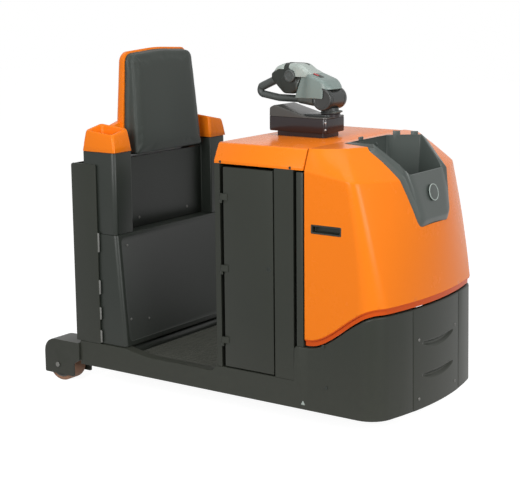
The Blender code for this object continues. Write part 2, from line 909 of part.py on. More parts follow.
# Drive deck with the hood's hinge ears, and the motors on it.
hinge_at = (nose - hinge_x, 0, hinge_z)
deck_rear = seam - trim_x + 0.020
wall_inner = half_width - nose_wall - fit
plan = [
    (deck_rear, -wall_inner),
    (deck_rear + 0.050, -wall_inner),
    (deck_rear + 0.060, -plate_half),
    (nose - 0.075, -plate_half),
    (nose - 0.075, plate_half),
    (deck_rear + 0.060, plate_half),
    (deck_rear + 0.050, wall_inner),
    (deck_rear, wall_inner),
]
drive_deck = make("drive_deck", *prism(plan, "Z", plate_top - plate_thick, plate_top), cast)
for sign in (-1, 1):
    y_in, y_out = sign * (plate_half - 0.020), sign * (plate_half - 0.012)
    ear = rounded(
        [
            (hinge_at[0] - 0.040, plate_top - 0.001, 0),
            (nose - 0.0755, plate_top - 0.001, 0),
            (hinge_at[0] + 0.012, hinge_z - 0.012, 0.0),
            (hinge_at[0] + 0.012, hinge_z + 0.012, 0.011),
            (hinge_at[0] - 0.012, hinge_z + 0.012, 0.011),
            (hinge_at[0] - 0.050, plate_top - 0.001, 0),
        ],
        3,
    )
    ear = [(x, z) for x, z in ear]
    boolean(drive_deck, prism(ear, "Y", *sorted((y_in, y_out))), "UNION")
    boolean(drive_deck, prism(circle(hinge_at[0], hinge_z, 0.007, 16), "Y", *sorted((y_in - sign * 0.004, sign * (arm_y + 0.010)))), "UNION")

motor = make(
    "drive_motor",
    *turned(
        [(motor_radius + 0.020, plate_top + fit), (motor_radius + 0.020, plate_top + 0.014), (motor_radius, plate_top + 0.018), (motor_radius, plate_top + motor_height - 0.012), (motor_radius - 0.012, plate_top + motor_height), (0.030, plate_top + motor_height)],
        "Z",
        drive_centre,
        0,
        40,
    ),
    cast,
)
soften(motor)
steer_motor = make(
    "steer_motor",
    *turned([(0.035, plate_top + fit), (0.035, plate_top + 0.120), (0.028, plate_top + 0.128)], "Z", drive_centre - 0.110, 0.135, 24),
    cast,
)
soften(steer_motor)

# Drive unit: slewing flange and gear leg on the steering axis, wheel on its own axle.
steer = axis_at("axis_drive_steer", (drive_centre, 0, plate_top - plate_thick))
wheel_axis = axis_at("axis_drive_wheel", (drive_centre, 0, drive_radius))
leg_y = drive_width / 2 + leg_gap
unit = make(
    "drive_gearbox",
    *turned([(gear_flange, plate_top - plate_thick - fit), (gear_flange, plate_top - plate_thick - 0.016), (gear_radius, plate_top - plate_thick - 0.030), (gear_radius, drive_radius * 2 + 0.012)], "Z", drive_centre, 0, 40),
    cast,
    steer,
)
leg = rounded(
    [
        (drive_centre - leg_half, drive_radius * 2 + 0.014, 0),
        (drive_centre - leg_half + 0.010, drive_radius - leg_half + 0.010, leg_half - 0.015),
        (drive_centre + leg_half - 0.010, drive_radius - leg_half + 0.010, leg_half - 0.015),
        (drive_centre + leg_half, drive_radius * 2 + 0.014, 0),
    ],
    6,
)
boolean(unit, prism(leg, "Y", leg_y, leg_y + leg_thick), "UNION")
boolean(unit, prism(circle(drive_centre, drive_radius, wheel_axle, 24), "Y", drive_width / 2 - 0.002 + fit, leg_y + 0.010), "UNION")
half = drive_width / 2
core = drive_radius - drive_tread
soften(
    make(
        "drive_wheel_hub",
        *turned([(0.020, -half + 0.002), (0.040, -half + 0.002), (core - 0.012, -half + 0.010), (core - fit, -half), (core - fit, half), (core - 0.012, half - 0.010), (0.040, half - 0.002), (0.020, half - 0.002)], "Y", drive_centre, drive_radius, 28),
        cast,
        wheel_axis,
    )
)
soften(
    make(
        "drive_wheel_tread",
        *turned([(core, -half), (drive_radius - 0.006, -half), (drive_radius, -half + 0.006), (drive_radius, half - 0.006), (drive_radius - 0.006, half), (core, half)], "Y", drive_centre, drive_radius, 44, loop=True),
        tread,
        wheel_axis,
    )
)

# Hood: a thin moulding drawn through plan outlines, open at its back and foot.
tilt = axis_at("axis_hood", hinge_at)
hood_rear = seam + hood_gap
hood_rows = (
    # front inset from the nose, front radius, corner radius, side inset, height at the rear, height at the front, taper
    (0.007, 1.25, 0.090, 0, 0.450, 0.620, 0),
    (0.017, 1.00, 0.070, 0, 0.620, 0.745, 0),
    (0.035, 0.88, 0.060, 0, 0.840, 0.874, 0),
    (0.066, 0.85, 0.050, 0.001, 1.040, 0.997, 0.0),
    (0.105, 0.75, 0.055, 0.016, 1.082, 1.065, 0.06),
    (0.150, 0.70, 0.060, 0.030, 1.117, 1.112, 0.20),
    (0.165, 0.70, 0.060, 0.036, 1.124, 1.123, 0.22),
)


def hood_outline(inset, radius, corner, side, taper):
    points = nose_plan(nose - inset, radius, corner, half_width - hood_side - side, hood_rear, 9, 6, 6)
    out = []
    for x, y, nx, ny in points:
        share = (x - hood_rear) / (nose - inset - hood_rear)
        out.append((x, y * (1 - taper * smooth(share * 1.2)), nx, ny, share))
    return out


def hood_surface():
    rings = []
    for inset, rise in ((hood_lip_inset, hood_lip_gap), (hood_lip_inset, hood_lip_gap + hood_lip), (0.0, hood_lip_gap + hood_lip + 0.001)):
        ring = []
        for x, y, nx, ny, share in hood_outline(0.002, nose_radius, nose_corner, 0, 0):
            ring.append((x - nx * inset, y - ny * inset, sill(x) + rise))
        rings.append(ring)
    for inset, radius, corner, side, rear_z, front_z, taper in hood_rows:
        rings.append([(x, y, rear_z + (front_z - rear_z) * share) for x, y, nx, ny, share in hood_outline(inset, radius, corner, side, taper)])
    return rings


rings = hood_surface()
half_count = len(rings[0])
ring_size = 2 * half_count - 1
verts, faces = [], []
for ring in rings:
    verts += ring + [(x, -y, z) for x, y, z in reversed(ring[:-1])]
for k in range(len(rings) - 1):
    for i in range(ring_size - 1):
        faces.append((k * ring_size + i, k * ring_size + i + 1, (k + 1) * ring_size + i + 1, (k + 1) * ring_size + i))
top = (len(rings) - 1) * ring_size
for i in range(half_count - 1):
    right, left = top + i, top + ring_size - 1 - i
    faces.append((right, right + 1, left - 1, left) if right + 1 != left - 1 else (right, right + 1, left))
hood = make("hood", verts, faces, orange, tilt)
solidify(hood, hood_wall)
soften(hood, 28)

# Opening for the storage tray, square to the sloping face between the top and the front.
tray_lean = math.radians(45)


def tray_point(across, along_slope, out):
    """From the tray's own plane: across the truck, up the slope, and out of it."""
    x = nose - slope_foot + out * math.cos(tray_lean) - along_slope * math.sin(tray_lean)
    return (x, across, out * math.sin(tray_lean) + along_slope * math.cos(tray_lean))


tray_outline = rounded([*tray_plan, *((-y, s, r) for y, s, r in reversed(tray_plan))], 3)
boolean(hood, loft([[tray_point(y, s, out) for y, s in tray_outline] for out in (0.72, 1.10)]))


def hood_skin():
    """The hood's outer form, for finding places on it."""
    out = []
    for inset, radius, corner, side, rear_z, front_z, taper in hood_rows[1:]:
        half = [(x, y, rear_z + (front_z - rear_z) * share) for x, y, nx, ny, share in hood_outline(inset, radius, corner, side, taper)]
        out.append(half + [(x, -y, z) for x, y, z in reversed(half[:-1])])
    return BVHTree.FromPolygons(*loft(out))


skin = hood_skin()


def on_hood(across, along_slope, proud):
    """A place over the hood's outer face, seen along the tray's own axis."""
    inward = Vector(tray_point(0, 0, -1)) - Vector(tray_point(0, 0, 0))
    place = skin.ray_cast(Vector(tray_point(across, along_slope, 1.3)), inward)[0]
    return Vector(place) - inward * proud


def tray_place(x, y):
    """Across and along the slope, for a place on the hood below (x, y)."""
    z = skin.ray_cast(Vector((x, y, 2)), Vector((0, 0, -1)))[0].z
    run = x - nose + slope_foot
    return y, z * math.cos(tray_lean) - run * math.sin(tray_lean)


def evened(corners, shares):
    """An outline of three points for each corner and points between them at given shares."""
    line = rounded(corners, 2)
    out = []
    for k, share in enumerate(shares):
        out += line[3 * k : 3 * k + 3]
        (xa, ya), (xb, yb) = line[3 * k + 2], line[(3 * k + 3) % len(line)]
        out += [(xa + (xb - xa) * t, ya + (yb - ya) * t) for t in share]
    return out


def all_round(half):
    """Both sides of a half outline, from its front corner to its rear one and back."""
    return [*half, *((-y, s, r) for y, s, r in reversed(half))]


# Storage tray: a moulding that follows the hood and stands proud of it, with a basin let down into it.
between = ((0.5,), (0.33, 0.66), (0.5,), (0.5,), (0.5,), (0.33, 0.66), (0.5,), (0.25, 0.5, 0.75))
(rear_x, rear_y, rear_r), (side_x, side_y, side_r), (front_x, front_y, front_r) = basin_half
basin_corners = (
    (front_y, seam + front_x, front_r),
    (front_y + (side_y - front_y) * 0.3, seam + front_x + (side_x - front_x) * 0.3, 0.004),
    (side_y, seam + side_x, side_r),
    (rear_y, seam + rear_x, rear_r),
)
basin_line = evened(all_round(basin_corners), between)
tray_line = evened(all_round(tray_plan), between)


def basin_ring(grow, z):
    """The basin's outline in plan at one height."""
    middle = seam + tray_back + 0.12
    ring = []
    for y, x in basin_line:
        bow = basin_bow * max(0, 1 - (y / front_y) ** 2) if x > middle else 0
        ring.append((middle + (x + bow - middle) * (1 + grow / basin_reach), y * (1 + grow / basin_side), z))
    return ring


def rim_ring(share, inset, proud, grow=0.0):
    """A ring at a height over the hood, at a share of the way from the basin's edge to the tray's."""
    ring = []
    for (x, y, z), (across, slope) in zip(basin_ring(grow, 0), tray_line):
        rise = 1 - (1 - tray_proud_top / tray_proud) * max(0, min(1, (slope - side_slope) / (top_slope - side_slope)))
        draw = 1 - inset * (rise if proud > 0 else 1) / 0.2
        inner = tray_place(x, y)
        edge = (across * draw, middle_slope + (slope - middle_slope) * draw)
        across, slope = (a + (b - a) * share for a, b in zip(inner, edge))
        ring.append(on_hood(across, slope, proud * rise if proud > 0 else proud))
    return ring


side_slope, top_slope = tray_plan[2][1] - 0.015, tray_plan[3][1]
skirt = hood_wall + 0.008
tray = make(
    "storage_tray",
    *loft(
        [
            basin_ring(-tray_wall_inset * 2, tray_floor),
            basin_ring(-tray_wall_inset, tray_floor + tray_foot),
            rim_ring(0, 0, tray_proud),
            rim_ring(0.4, tray_chamfer, tray_proud),
            rim_ring(1, tray_chamfer, tray_proud),
            rim_ring(1, tray_clear, 0.0006),
            rim_ring(1, tray_clear, -skirt),
            rim_ring(0, 0, -skirt, tray_wall),
            basin_ring(tray_wall, tray_floor - tray_wall),
        ]
    ),
    tray_grey,
    tilt,
)

# Three upright tabs on the rim, which papers hang from.
rim_x, rim_y = seam + basin_half[0][0], basin_half[0][1]
for x, y, turn, up in ((rim_x, -0.050, 0, 0), (rim_x + 0.040, rim_y + 0.014, 68, 0.006), (rim_x + 0.108, rim_y + 0.040, 68, 0.006)):
    top = lid_top + tab_reach + up
    tab = rounded([(0.0005, lid_top - tab_root, 0), (0.0005, top, 0.0035), (-tab_wall, top, 0.0015), (-tab_wall, lid_top - tab_root, 0)], 3)
    across = Matrix.Rotation(math.radians(-turn), 3, "Z")
    verts, faces = prism(tab, "Y", -tab_half, tab_half)
    boolean(tray, ([Vector((x, y, 0)) + across @ Vector(v) for v in verts], faces), "UNION")
soften(tray)

# Recessed grips in the hood's sides.
grip_low, grip_high = grip_z - grip_tall / 2, grip_z + grip_tall / 2
for side, sign in (("right", -1), ("left", 1)):
    face = sign * (half_width - hood_side)
    opening = block(hood_rear + grip_x, hood_rear + grip_x + grip_long, *sorted((face + sign * 0.01, face - sign * 0.012)), grip_low, grip_high)
    boolean(hood, opening)
    cup = make(
        f"hood_grip_{side}",
        *block(hood_rear + grip_x + fit, hood_rear + grip_x + grip_long - fit, *sorted((face + sign * 0.0012, face - sign * grip_deep)), grip_low + fit, grip_high - fit),
        moulded,
        tilt,
    )
    boolean(
        cup,
        block(
            hood_rear + grip_x + grip_frame,
            hood_rear + grip_x + grip_long - grip_frame,
            *sorted((face + sign * 0.01, face - sign * (grip_deep - 0.003))),
            grip_low + grip_frame,
            grip_high - grip_frame,
        ),
    )

# Hood hinge frame: two bent arms and a cross bar.


def hood_front(y, z):
    """X of the hood's outer face at a place on its front."""
    places = []
    for inset, radius, corner, side, rear_z, front_z, taper in hood_rows:
        line = [(px, abs(py), rear_z + (front_z - rear_z) * share) for px, py, nx, ny, share in hood_outline(inset, radius, corner, side, taper)]
        for (xa, ya, za), (xb, yb, zb) in zip(line, line[1:]):
            if yb <= y <= ya and ya > yb:
                t = (ya - y) / (ya - yb)
                places.append((za + (zb - za) * t, xa + (xb - xa) * t))
    for (za, xa), (zb, xb) in zip(places, places[1:]):
        if za <= z <= zb:
            return xa + (xb - xa) * (z - za) / (zb - za)
    return places[0][1]


arm_rise = 0.320
arm_end = hood_front(arm_y + arm_wall / 2, hinge_z + arm_rise + arm_width / 2) - hood_wall - 0.0008 - hinge_at[0]
arm_path = [(0, 0), (-0.100, 0.010), (-0.150, 0.060), (-0.140, 0.170), (-0.050, 0.290), (-0.020, arm_rise), (arm_end, arm_rise)]


def ribbon(path, width):
    """The outline of a bent flat bar."""
    left, right = [], []
    for k, (x, z) in enumerate(path):
        ahead = Vector(path[min(k + 1, len(path) - 1)]) - Vector(path[max(k - 1, 0)])
        side = Vector((-ahead.y, ahead.x)).normalized() * width / 2
        left.append((x + side.x, z + side.y))
        right.append((x - side.x, z - side.y))
    return left + list(reversed(right))


arm_line = [(hinge_at[0] + x, hinge_at[2] + z) for x, z in arm_path]
hinge_frame = make("hood_hinge_frame", *prism(ribbon(arm_line, arm_width), "Y", -arm_y - arm_wall / 2, -arm_y + arm_wall / 2), cast, tilt)
boolean(hinge_frame, prism(ribbon(arm_line, arm_width), "Y", arm_y - arm_wall / 2, arm_y + arm_wall / 2), "UNION")
boolean(hinge_frame, prism(circle(arm_line[-3][0], arm_line[-3][1], 0.009, 16), "Y", -arm_y, arm_y), "UNION")
for sign in (-1, 1):
    boolean(hinge_frame, prism(circle(*arm_line[0], 0.013, 20), "Y", *sorted((sign * (arm_y - 0.006), sign * (arm_y + 0.006)))), "UNION")
    boolean(hinge_frame, prism(circle(*arm_line[0], 0.008, 20), "Y", *sorted((sign * (arm_y - 0.02), sign * (arm_y + 0.02)))))

# Console under the handle.
console_rear = seam - console_x - console_length - 0.060
console = make(
    "steering_console",
    *prism(
        rounded(
            [
                (console_rear, console_base, 0.004),
                (console_rear + console_length, console_base, 0.004),
                (console_rear + console_length, console_deck, 0.010),
                (console_rear + console_slope, console_deck, 0.040),
                (console_rear + 0.026, console_hump, 0.022),
                (console_rear + 0.002, console_hump - 0.012, 0.012),
            ],
            4,
        ),
        "Y",
        -console_half,
        console_half,
    ),
    moulded,
)
bevel(console, 0.006, 2, 40)
boolean(console, block(console_rear + 0.030, console_rear + console_length - 0.020, -console_half + 0.016, console_half - 0.016, lid_top + fit, console_base + 0.004), "UNION")
boolean(console, prism(circle(steer_centre, 0, neck_radius, 32), "Z", console_deck - 0.004, console_deck + 0.010), "UNION")
soften(console)

# Steering handle on its vertical axis.
turn_axis = axis_at("axis_handle", (steer_centre, 0, console_deck))
hub_x = steer_centre - hub_back
neck = circle(steer_centre, 0, neck_radius - 0.004, 28)
hub = make(
    "handle_hub",
    *turned([(hub_radius - 0.004, -hub_half), (hub_radius, -hub_half + 0.004), (hub_radius, hub_half - 0.004), (hub_radius - 0.004, hub_half)], "Y", hub_x, hub_z, 32),
    moulded,
    turn_axis,
)
boolean(hub, prism(neck, "Z", console_deck + 0.010 + fit, hub_z - 0.010), "UNION")
soften(hub)


def side_line(line, steps=3):
    """A side outline of the handle, from the steering axis."""
    return rounded([(steer_centre + x, z, r) for x, z, r in line], steps)


body = make("handle_body", *prism(side_line(body_line), "Y", -body_half, body_half), handle_grey, turn_axis)
bevel(body, body_round, 2, 50)
boolean(body, prism(circle(hub_x, hub_z, hub_radius + fit, 32), "Y", -0.1, 0.1))
boolean(body, prism(circle(steer_centre, 0, neck_radius - 0.004 + fit, 28), "Z", console_deck, hub_z + 0.005))
soften(body)

# Head: the dark middle, the light cowl over it, the speed rollers through it.
middle_x, middle_z = steer_centre + head_middle[0], head_middle[1]


def head_ring(scale, y):
    """The head's side outline, drawn to its middle by a scale."""
    return [(middle_x + (x - middle_x) * scale, y, middle_z + (z - middle_z) * scale) for x, z in side_line(head_line)]


draw = 1 - head_round / 0.06
head = make("handle_head", *loft([head_ring(draw, -head_half), head_ring(1, head_round - head_half), head_ring(1, head_half - head_round), head_ring(draw, head_half)]), moulded, turn_axis)
roller_at = (steer_centre + roller_x, 0, roller_z)
boolean(head, prism(circle(roller_at[0], roller_z, roller_shaft + 0.001, 20), "Y", -0.1, 0.1))
soften(head)
cowl = make("handle_cowl", *prism(side_line(cowl_line), "Y", -cowl_half, cowl_half), cowl_grey, turn_axis)
soften(cowl)


def tube(points, radii, sides=10):
    """A round bar along a path in XZ at y = 0."""
    rings = []
    for k, ((x, z), radius) in enumerate(zip(points, radii)):
        ahead = Vector(points[min(k + 1, len(points) - 1)]) - Vector(points[max(k - 1, 0)])
        ahead.normalize()
        ring = []
        for s in range(sides):
            a = 2 * math.pi * s / sides
            up = radius * math.sin(a)
            ring.append((x - ahead.y * up, radius * math.cos(a), z + ahead.x * up))
        rings.append(ring)
    return loft(rings)


grip_points = side_line(grip_path, 7)
grip_radii = [grip_radius + (grip_thick - grip_radius) * smooth((k - 12) / 4) for k in range(len(grip_points))]
grip = make("handle_grip", *tube(grip_points, grip_radii), moulded, turn_axis)
boolean(grip, loft([head_ring(1.01, -head_half), head_ring(1.01, head_half)]))
soften(grip)

roll_axis = axis_at("axis_speed_roller", roller_at)
roller = make(
    "speed_roller",
    *turned(
        [
            (roller_radius - 0.006, -head_half - roller_width),
            (roller_radius, -head_half - roller_width + 0.006),
            (roller_radius, -head_half - 0.004),
            (roller_radius - 0.006, -head_half - 0.001),
            (roller_shaft, -head_half - 0.001),
            (roller_shaft, head_half + 0.001),
            (roller_radius - 0.006, head_half + 0.001),
            (roller_radius, head_half + 0.004),
            (roller_radius, head_half + roller_width - 0.006),
            (roller_radius - 0.006, head_half + roller_width),
        ],
        "Y",
        roller_at[0],
        roller_z,
        20,
    ),
    rubber,
    roll_axis,
)
soften(roller)
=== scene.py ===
import json
from math import asin, atan, atan2, copysign, cos, dist, hypot, pi, radians, sin, sqrt, tan

import bmesh
import bpy
from mathutils import Matrix, Vector
from mathutils.bvhtree import BVHTree

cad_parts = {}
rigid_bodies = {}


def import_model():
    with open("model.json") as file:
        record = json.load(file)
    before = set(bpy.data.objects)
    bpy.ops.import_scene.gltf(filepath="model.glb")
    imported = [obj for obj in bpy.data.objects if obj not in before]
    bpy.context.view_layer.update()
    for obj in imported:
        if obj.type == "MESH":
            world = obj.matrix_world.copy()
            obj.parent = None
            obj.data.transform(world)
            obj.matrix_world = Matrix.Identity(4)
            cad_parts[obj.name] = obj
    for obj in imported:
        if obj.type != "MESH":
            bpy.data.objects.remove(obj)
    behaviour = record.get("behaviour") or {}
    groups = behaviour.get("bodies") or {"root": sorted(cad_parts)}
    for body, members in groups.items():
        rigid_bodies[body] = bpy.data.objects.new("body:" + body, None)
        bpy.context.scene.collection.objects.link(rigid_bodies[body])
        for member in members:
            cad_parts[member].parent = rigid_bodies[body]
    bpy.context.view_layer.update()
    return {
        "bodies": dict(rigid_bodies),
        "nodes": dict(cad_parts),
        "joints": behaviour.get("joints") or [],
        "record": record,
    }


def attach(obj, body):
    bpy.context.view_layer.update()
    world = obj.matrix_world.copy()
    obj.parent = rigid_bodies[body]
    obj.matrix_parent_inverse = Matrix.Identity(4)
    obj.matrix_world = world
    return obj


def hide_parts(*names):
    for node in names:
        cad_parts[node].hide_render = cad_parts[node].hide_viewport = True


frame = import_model()
nodes = frame["nodes"]
bodyOf = {name: body for body, names in frame["record"]["behaviour"]["bodies"].items() for name in names}
slotOf = {row["node"]: row["material_slot"] for row in frame["record"]["subparts"]}
scene = bpy.context.scene
print("frame loaded:", len(nodes), "nodes")

# The camera stands where the photograph was taken from.
view = {
    "lens": 97.37,
    "azimuth": 35.5,
    "elevation": 11.03,
    "roll": -0.557,
    "place": (3.4317, -4.7949, 1.8105),
}


def addCamera():
    az, el, roll = (radians(view[k]) for k in ("azimuth", "elevation", "roll"))
    back = Vector((sin(az) * cos(el), -cos(az) * cos(el), sin(el)))
    right = Vector((cos(az), sin(az), 0))
    up = back.cross(right)
    across = right * cos(roll) + up * sin(roll)
    upright = up * cos(roll) - right * sin(roll)
    data = bpy.data.cameras.new("photoCamera")
    data.lens, data.sensor_width = view["lens"], 36
    data.clip_end = 60
    camera = bpy.data.objects.new("photoCamera", data)
    turn = Matrix((across, upright, back)).transposed().to_4x4()
    camera.matrix_world = Matrix.Translation(view["place"]) @ turn
    scene.collection.objects.link(camera)
    scene.camera = camera


addCamera()
scene.view_settings.view_transform = "Standard"

# Studio: white behind, and soft lamps to the truck's right, in front of it and above it.
studio = {
    "worldLight": 0.24,
    "floorSize": 30.0,
    "floorWhite": 0.928,
    "floorPale": 0.3,
    "lamps": (
        # name, place, aim, width, power
        ("keyLamp", (0.4, -5.0, 2.8), (0.1, 0.0, 0.7), 2.6, 185),
        ("frontLamp", (5.0, -1.4, 2.2), (0.4, 0.0, 0.8), 2.4, 150),
        ("topLamp", (0.4, -0.6, 4.8), (0.0, 0.0, 0.6), 3.0, 60),
    ),
}


def node(tree, kind, **values):
    # A value is what an input holds, another node's socket or a setting of the node.
    made = tree.nodes.new(kind)
    for key, value in values.items():
        label = key.replace("_", " ")
        if isinstance(value, bpy.types.NodeSocket):
            tree.links.new(value, made.inputs[label])
        elif label in made.inputs:
            made.inputs[label].default_value = value
        else:
            setattr(made, key, value)
    return made


def computed(tree, how, a, b):
    made = tree.nodes.new("ShaderNodeMath")
    made.operation = how
    for socket, value in zip(made.inputs, (a, b)):
        if isinstance(value, (int, float)):
            socket.default_value = value
        else:
            tree.links.new(value, socket)
    return made.outputs[0]


def whiteToEye(tree, plain, white):
    # The camera, mirrors and glass see white, everything else the plain shader.
    path = tree.nodes.new("ShaderNodeLightPath").outputs
    seen = computed(tree, "MAXIMUM", path["Is Camera Ray"], path["Is Glossy Ray"])
    seen = computed(tree, "MAXIMUM", seen, path["Is Transmission Ray"])
    mix = tree.nodes.new("ShaderNodeMixShader")
    for socket, shader in zip(mix.inputs, (seen, plain, white)):
        tree.links.new(shader, socket)
    return mix.outputs[0]


def addStudio():
    world = bpy.data.worlds.new("studioWorld")
    scene.world = world
    world.use_nodes = True
    tree = world.node_tree
    tree.nodes.clear()
    light = node(tree, "ShaderNodeBackground", Strength=studio["worldLight"], Color=(1, 1, 1, 1))
    white = node(tree, "ShaderNodeBackground", Color=(1, 1, 1, 1))
    out = tree.nodes.new("ShaderNodeOutputWorld")
    tree.links.new(whiteToEye(tree, light.outputs[0], white.outputs[0]), out.inputs["Surface"])

    half = studio["floorSize"] / 2
    mesh = bpy.data.meshes.new("studioFloor")
    mesh.from_pydata([(-half, -half, 0), (half, -half, 0), (half, half, 0), (-half, half, 0)], [], [(0, 1, 2, 3)])
    floor = bpy.data.objects.new("studioFloor", mesh)
    scene.collection.objects.link(floor)
    material = bpy.data.materials.new("floorPaper")
    material.use_nodes = True
    tree = material.node_tree
    tree.nodes.clear()
    pale = node(tree, "ShaderNodeBsdfDiffuse", Color=(studio["floorPale"],) * 3 + (1,))
    glow = node(tree, "ShaderNodeEmission", Strength=studio["floorWhite"])
    both = tree.nodes.new("ShaderNodeAddShader")
    tree.links.new(pale.outputs[0], both.inputs[0])
    tree.links.new(glow.outputs[0], both.inputs[1])
    out = tree.nodes.new("ShaderNodeOutputMaterial")
    tree.links.new(whiteToEye(tree, pale.outputs[0], both.outputs[0]), out.inputs["Surface"])
    mesh.materials.append(material)

    for name, place, aim, width, power in studio["lamps"]:
        data = bpy.data.lights.new(name, "AREA")
        data.size, data.energy = width, power
        lamp = bpy.data.objects.new(name, data)
        lamp.location = place
        lamp.rotation_euler = (Vector(place) - Vector(aim)).to_track_quat("Z", "Y").to_euler()
        scene.collection.objects.link(lamp)


addStudio()
print("camera and studio ready")


# Shader node groups that several finishes share.
def newGroup(name, inputs, outputs):
    group = bpy.data.node_groups.new(name, "ShaderNodeTree")
    for way, labels in (("INPUT", inputs), ("OUTPUT", outputs)):
        for label in labels:
            kind = "NodeSocketColor" if "Color" in label else "NodeSocketFloat"
            socket = group.interface.new_socket(label, in_out=way, socket_type=kind)
            if way == "INPUT":
                socket.default_value = inputs[label]
    return group, group.nodes.new("NodeGroupInput"), group.nodes.new("NodeGroupOutput")


def placeOf(tree):
    return tree.nodes.new("ShaderNodeTexCoord").outputs["Object"]


def toneGroup():
    # Slow cloudiness in a colour, with a little dust low down.
    group, given, out = newGroup(
        "toneDrift",
        {
            "Color": (0.5, 0.5, 0.5, 1), "Dust Color": (0.4, 0.36, 0.3, 1), "Drift": 0.1,
            "Dust": 0.1, "Roughness": 0.4, "Rough Drift": 0.05,
        },
        ("Color", "Roughness"),
    )
    where = placeOf(group)
    cloud = node(group, "ShaderNodeTexNoise", Vector=where, Scale=3.1, Detail=4.0, Roughness=0.55)
    fine = node(group, "ShaderNodeTexNoise", Vector=where, Scale=38.0, Detail=3.0, Roughness=0.6)
    swing = computed(group, "SUBTRACT", cloud.outputs["Fac"], 0.5)
    speck = computed(group, "SUBTRACT", fine.outputs["Fac"], 0.5)
    both = computed(group, "ADD", swing, computed(group, "MULTIPLY", speck, 0.35))
    bright = computed(group, "ADD", 1.0, computed(group, "MULTIPLY", both, given.outputs["Drift"]))
    shade = node(group, "ShaderNodeHueSaturation", Color=given.outputs["Color"], Value=bright)
    split = node(group, "ShaderNodeSeparateXYZ", Vector=where)
    # Dust thins out from the ground up to knee height.
    low = node(group, "ShaderNodeMapRange", From_Min=0.42, From_Max=0.02, Value=split.outputs["Z"])
    film = computed(group, "MULTIPLY", low.outputs["Result"], given.outputs["Dust"])
    film = computed(group, "MULTIPLY", film, computed(group, "ADD", 0.4, fine.outputs["Fac"]))
    mix = node(group, "ShaderNodeMix", data_type="RGBA")
    # The colour mix of this node has its sockets at 6, 7 and 2.
    for source, place in ((film, 0), (shade.outputs["Color"], 6), (given.outputs["Dust Color"], 7)):
        group.links.new(source, mix.inputs[place])
    group.links.new(mix.outputs[2], out.inputs["Color"])
    rough = computed(
        group, "ADD", given.outputs["Roughness"], computed(group, "MULTIPLY", both, given.outputs["Rough Drift"]),
    )
    rough = computed(group, "ADD", rough, computed(group, "MULTIPLY", film, 0.5))
    group.links.new(rough, out.inputs["Roughness"])
    return group


def grainGroup():
    # The fine relief of a moulded or a painted face: cells for leather, noise for paint.
    group, given, out = newGroup(
        "surfaceGrain",
        {"Cell Scale": 500.0, "Cell Depth": 0.5, "Peel Scale": 120.0, "Peel Depth": 0.2},
        ("Height",),
    )
    where = placeOf(group)
    asked = given.outputs
    cells = node(
        group, "ShaderNodeTexVoronoi", feature="SMOOTH_F1", Vector=where, Scale=asked["Cell Scale"], Smoothness=0.6,
    )
    peel = node(group, "ShaderNodeTexNoise", Vector=where, Scale=asked["Peel Scale"], Detail=2.0)
    pits = computed(group, "MULTIPLY", cells.outputs["Distance"], asked["Cell Depth"])
    waves = computed(group, "MULTIPLY", peel.outputs["Fac"], asked["Peel Depth"])
    group.links.new(computed(group, "ADD", pits, waves), out.inputs["Height"])
    return group


tone, grain = toneGroup(), grainGroup()


def finish(
    name, colour, rough, drift=0.1, dust=0.05, roughDrift=0.06, cell=(600, 0.0),
    peel=(90, 0.15), bump=0.15, distance=0.0004, **shader,
):
    material = bpy.data.materials.new(name)
    material.use_nodes = True
    tree = material.node_tree
    surface = tree.nodes["Principled BSDF"]
    for key, value in shader.items():
        surface.inputs[key.replace("_", " ")].default_value = value
    toned = node(
        tree, "ShaderNodeGroup", node_tree=tone, Color=(*colour, 1), Drift=drift,
        Dust=dust, Roughness=rough, Rough_Drift=roughDrift,
    )
    relief = node(
        tree, "ShaderNodeGroup", node_tree=grain, Cell_Scale=cell[0], Cell_Depth=cell[1], Peel_Scale=peel[0],
        Peel_Depth=peel[1],
    )
    bumped = node(tree, "ShaderNodeBump", Strength=bump, Distance=distance, Height=relief.outputs["Height"])
    for source, label in ((toned, "Color"), (toned, "Roughness"), (bumped, "Normal")):
        tree.links.new(source.outputs[label], surface.inputs["Base Color" if label == "Color" else label])
    return material


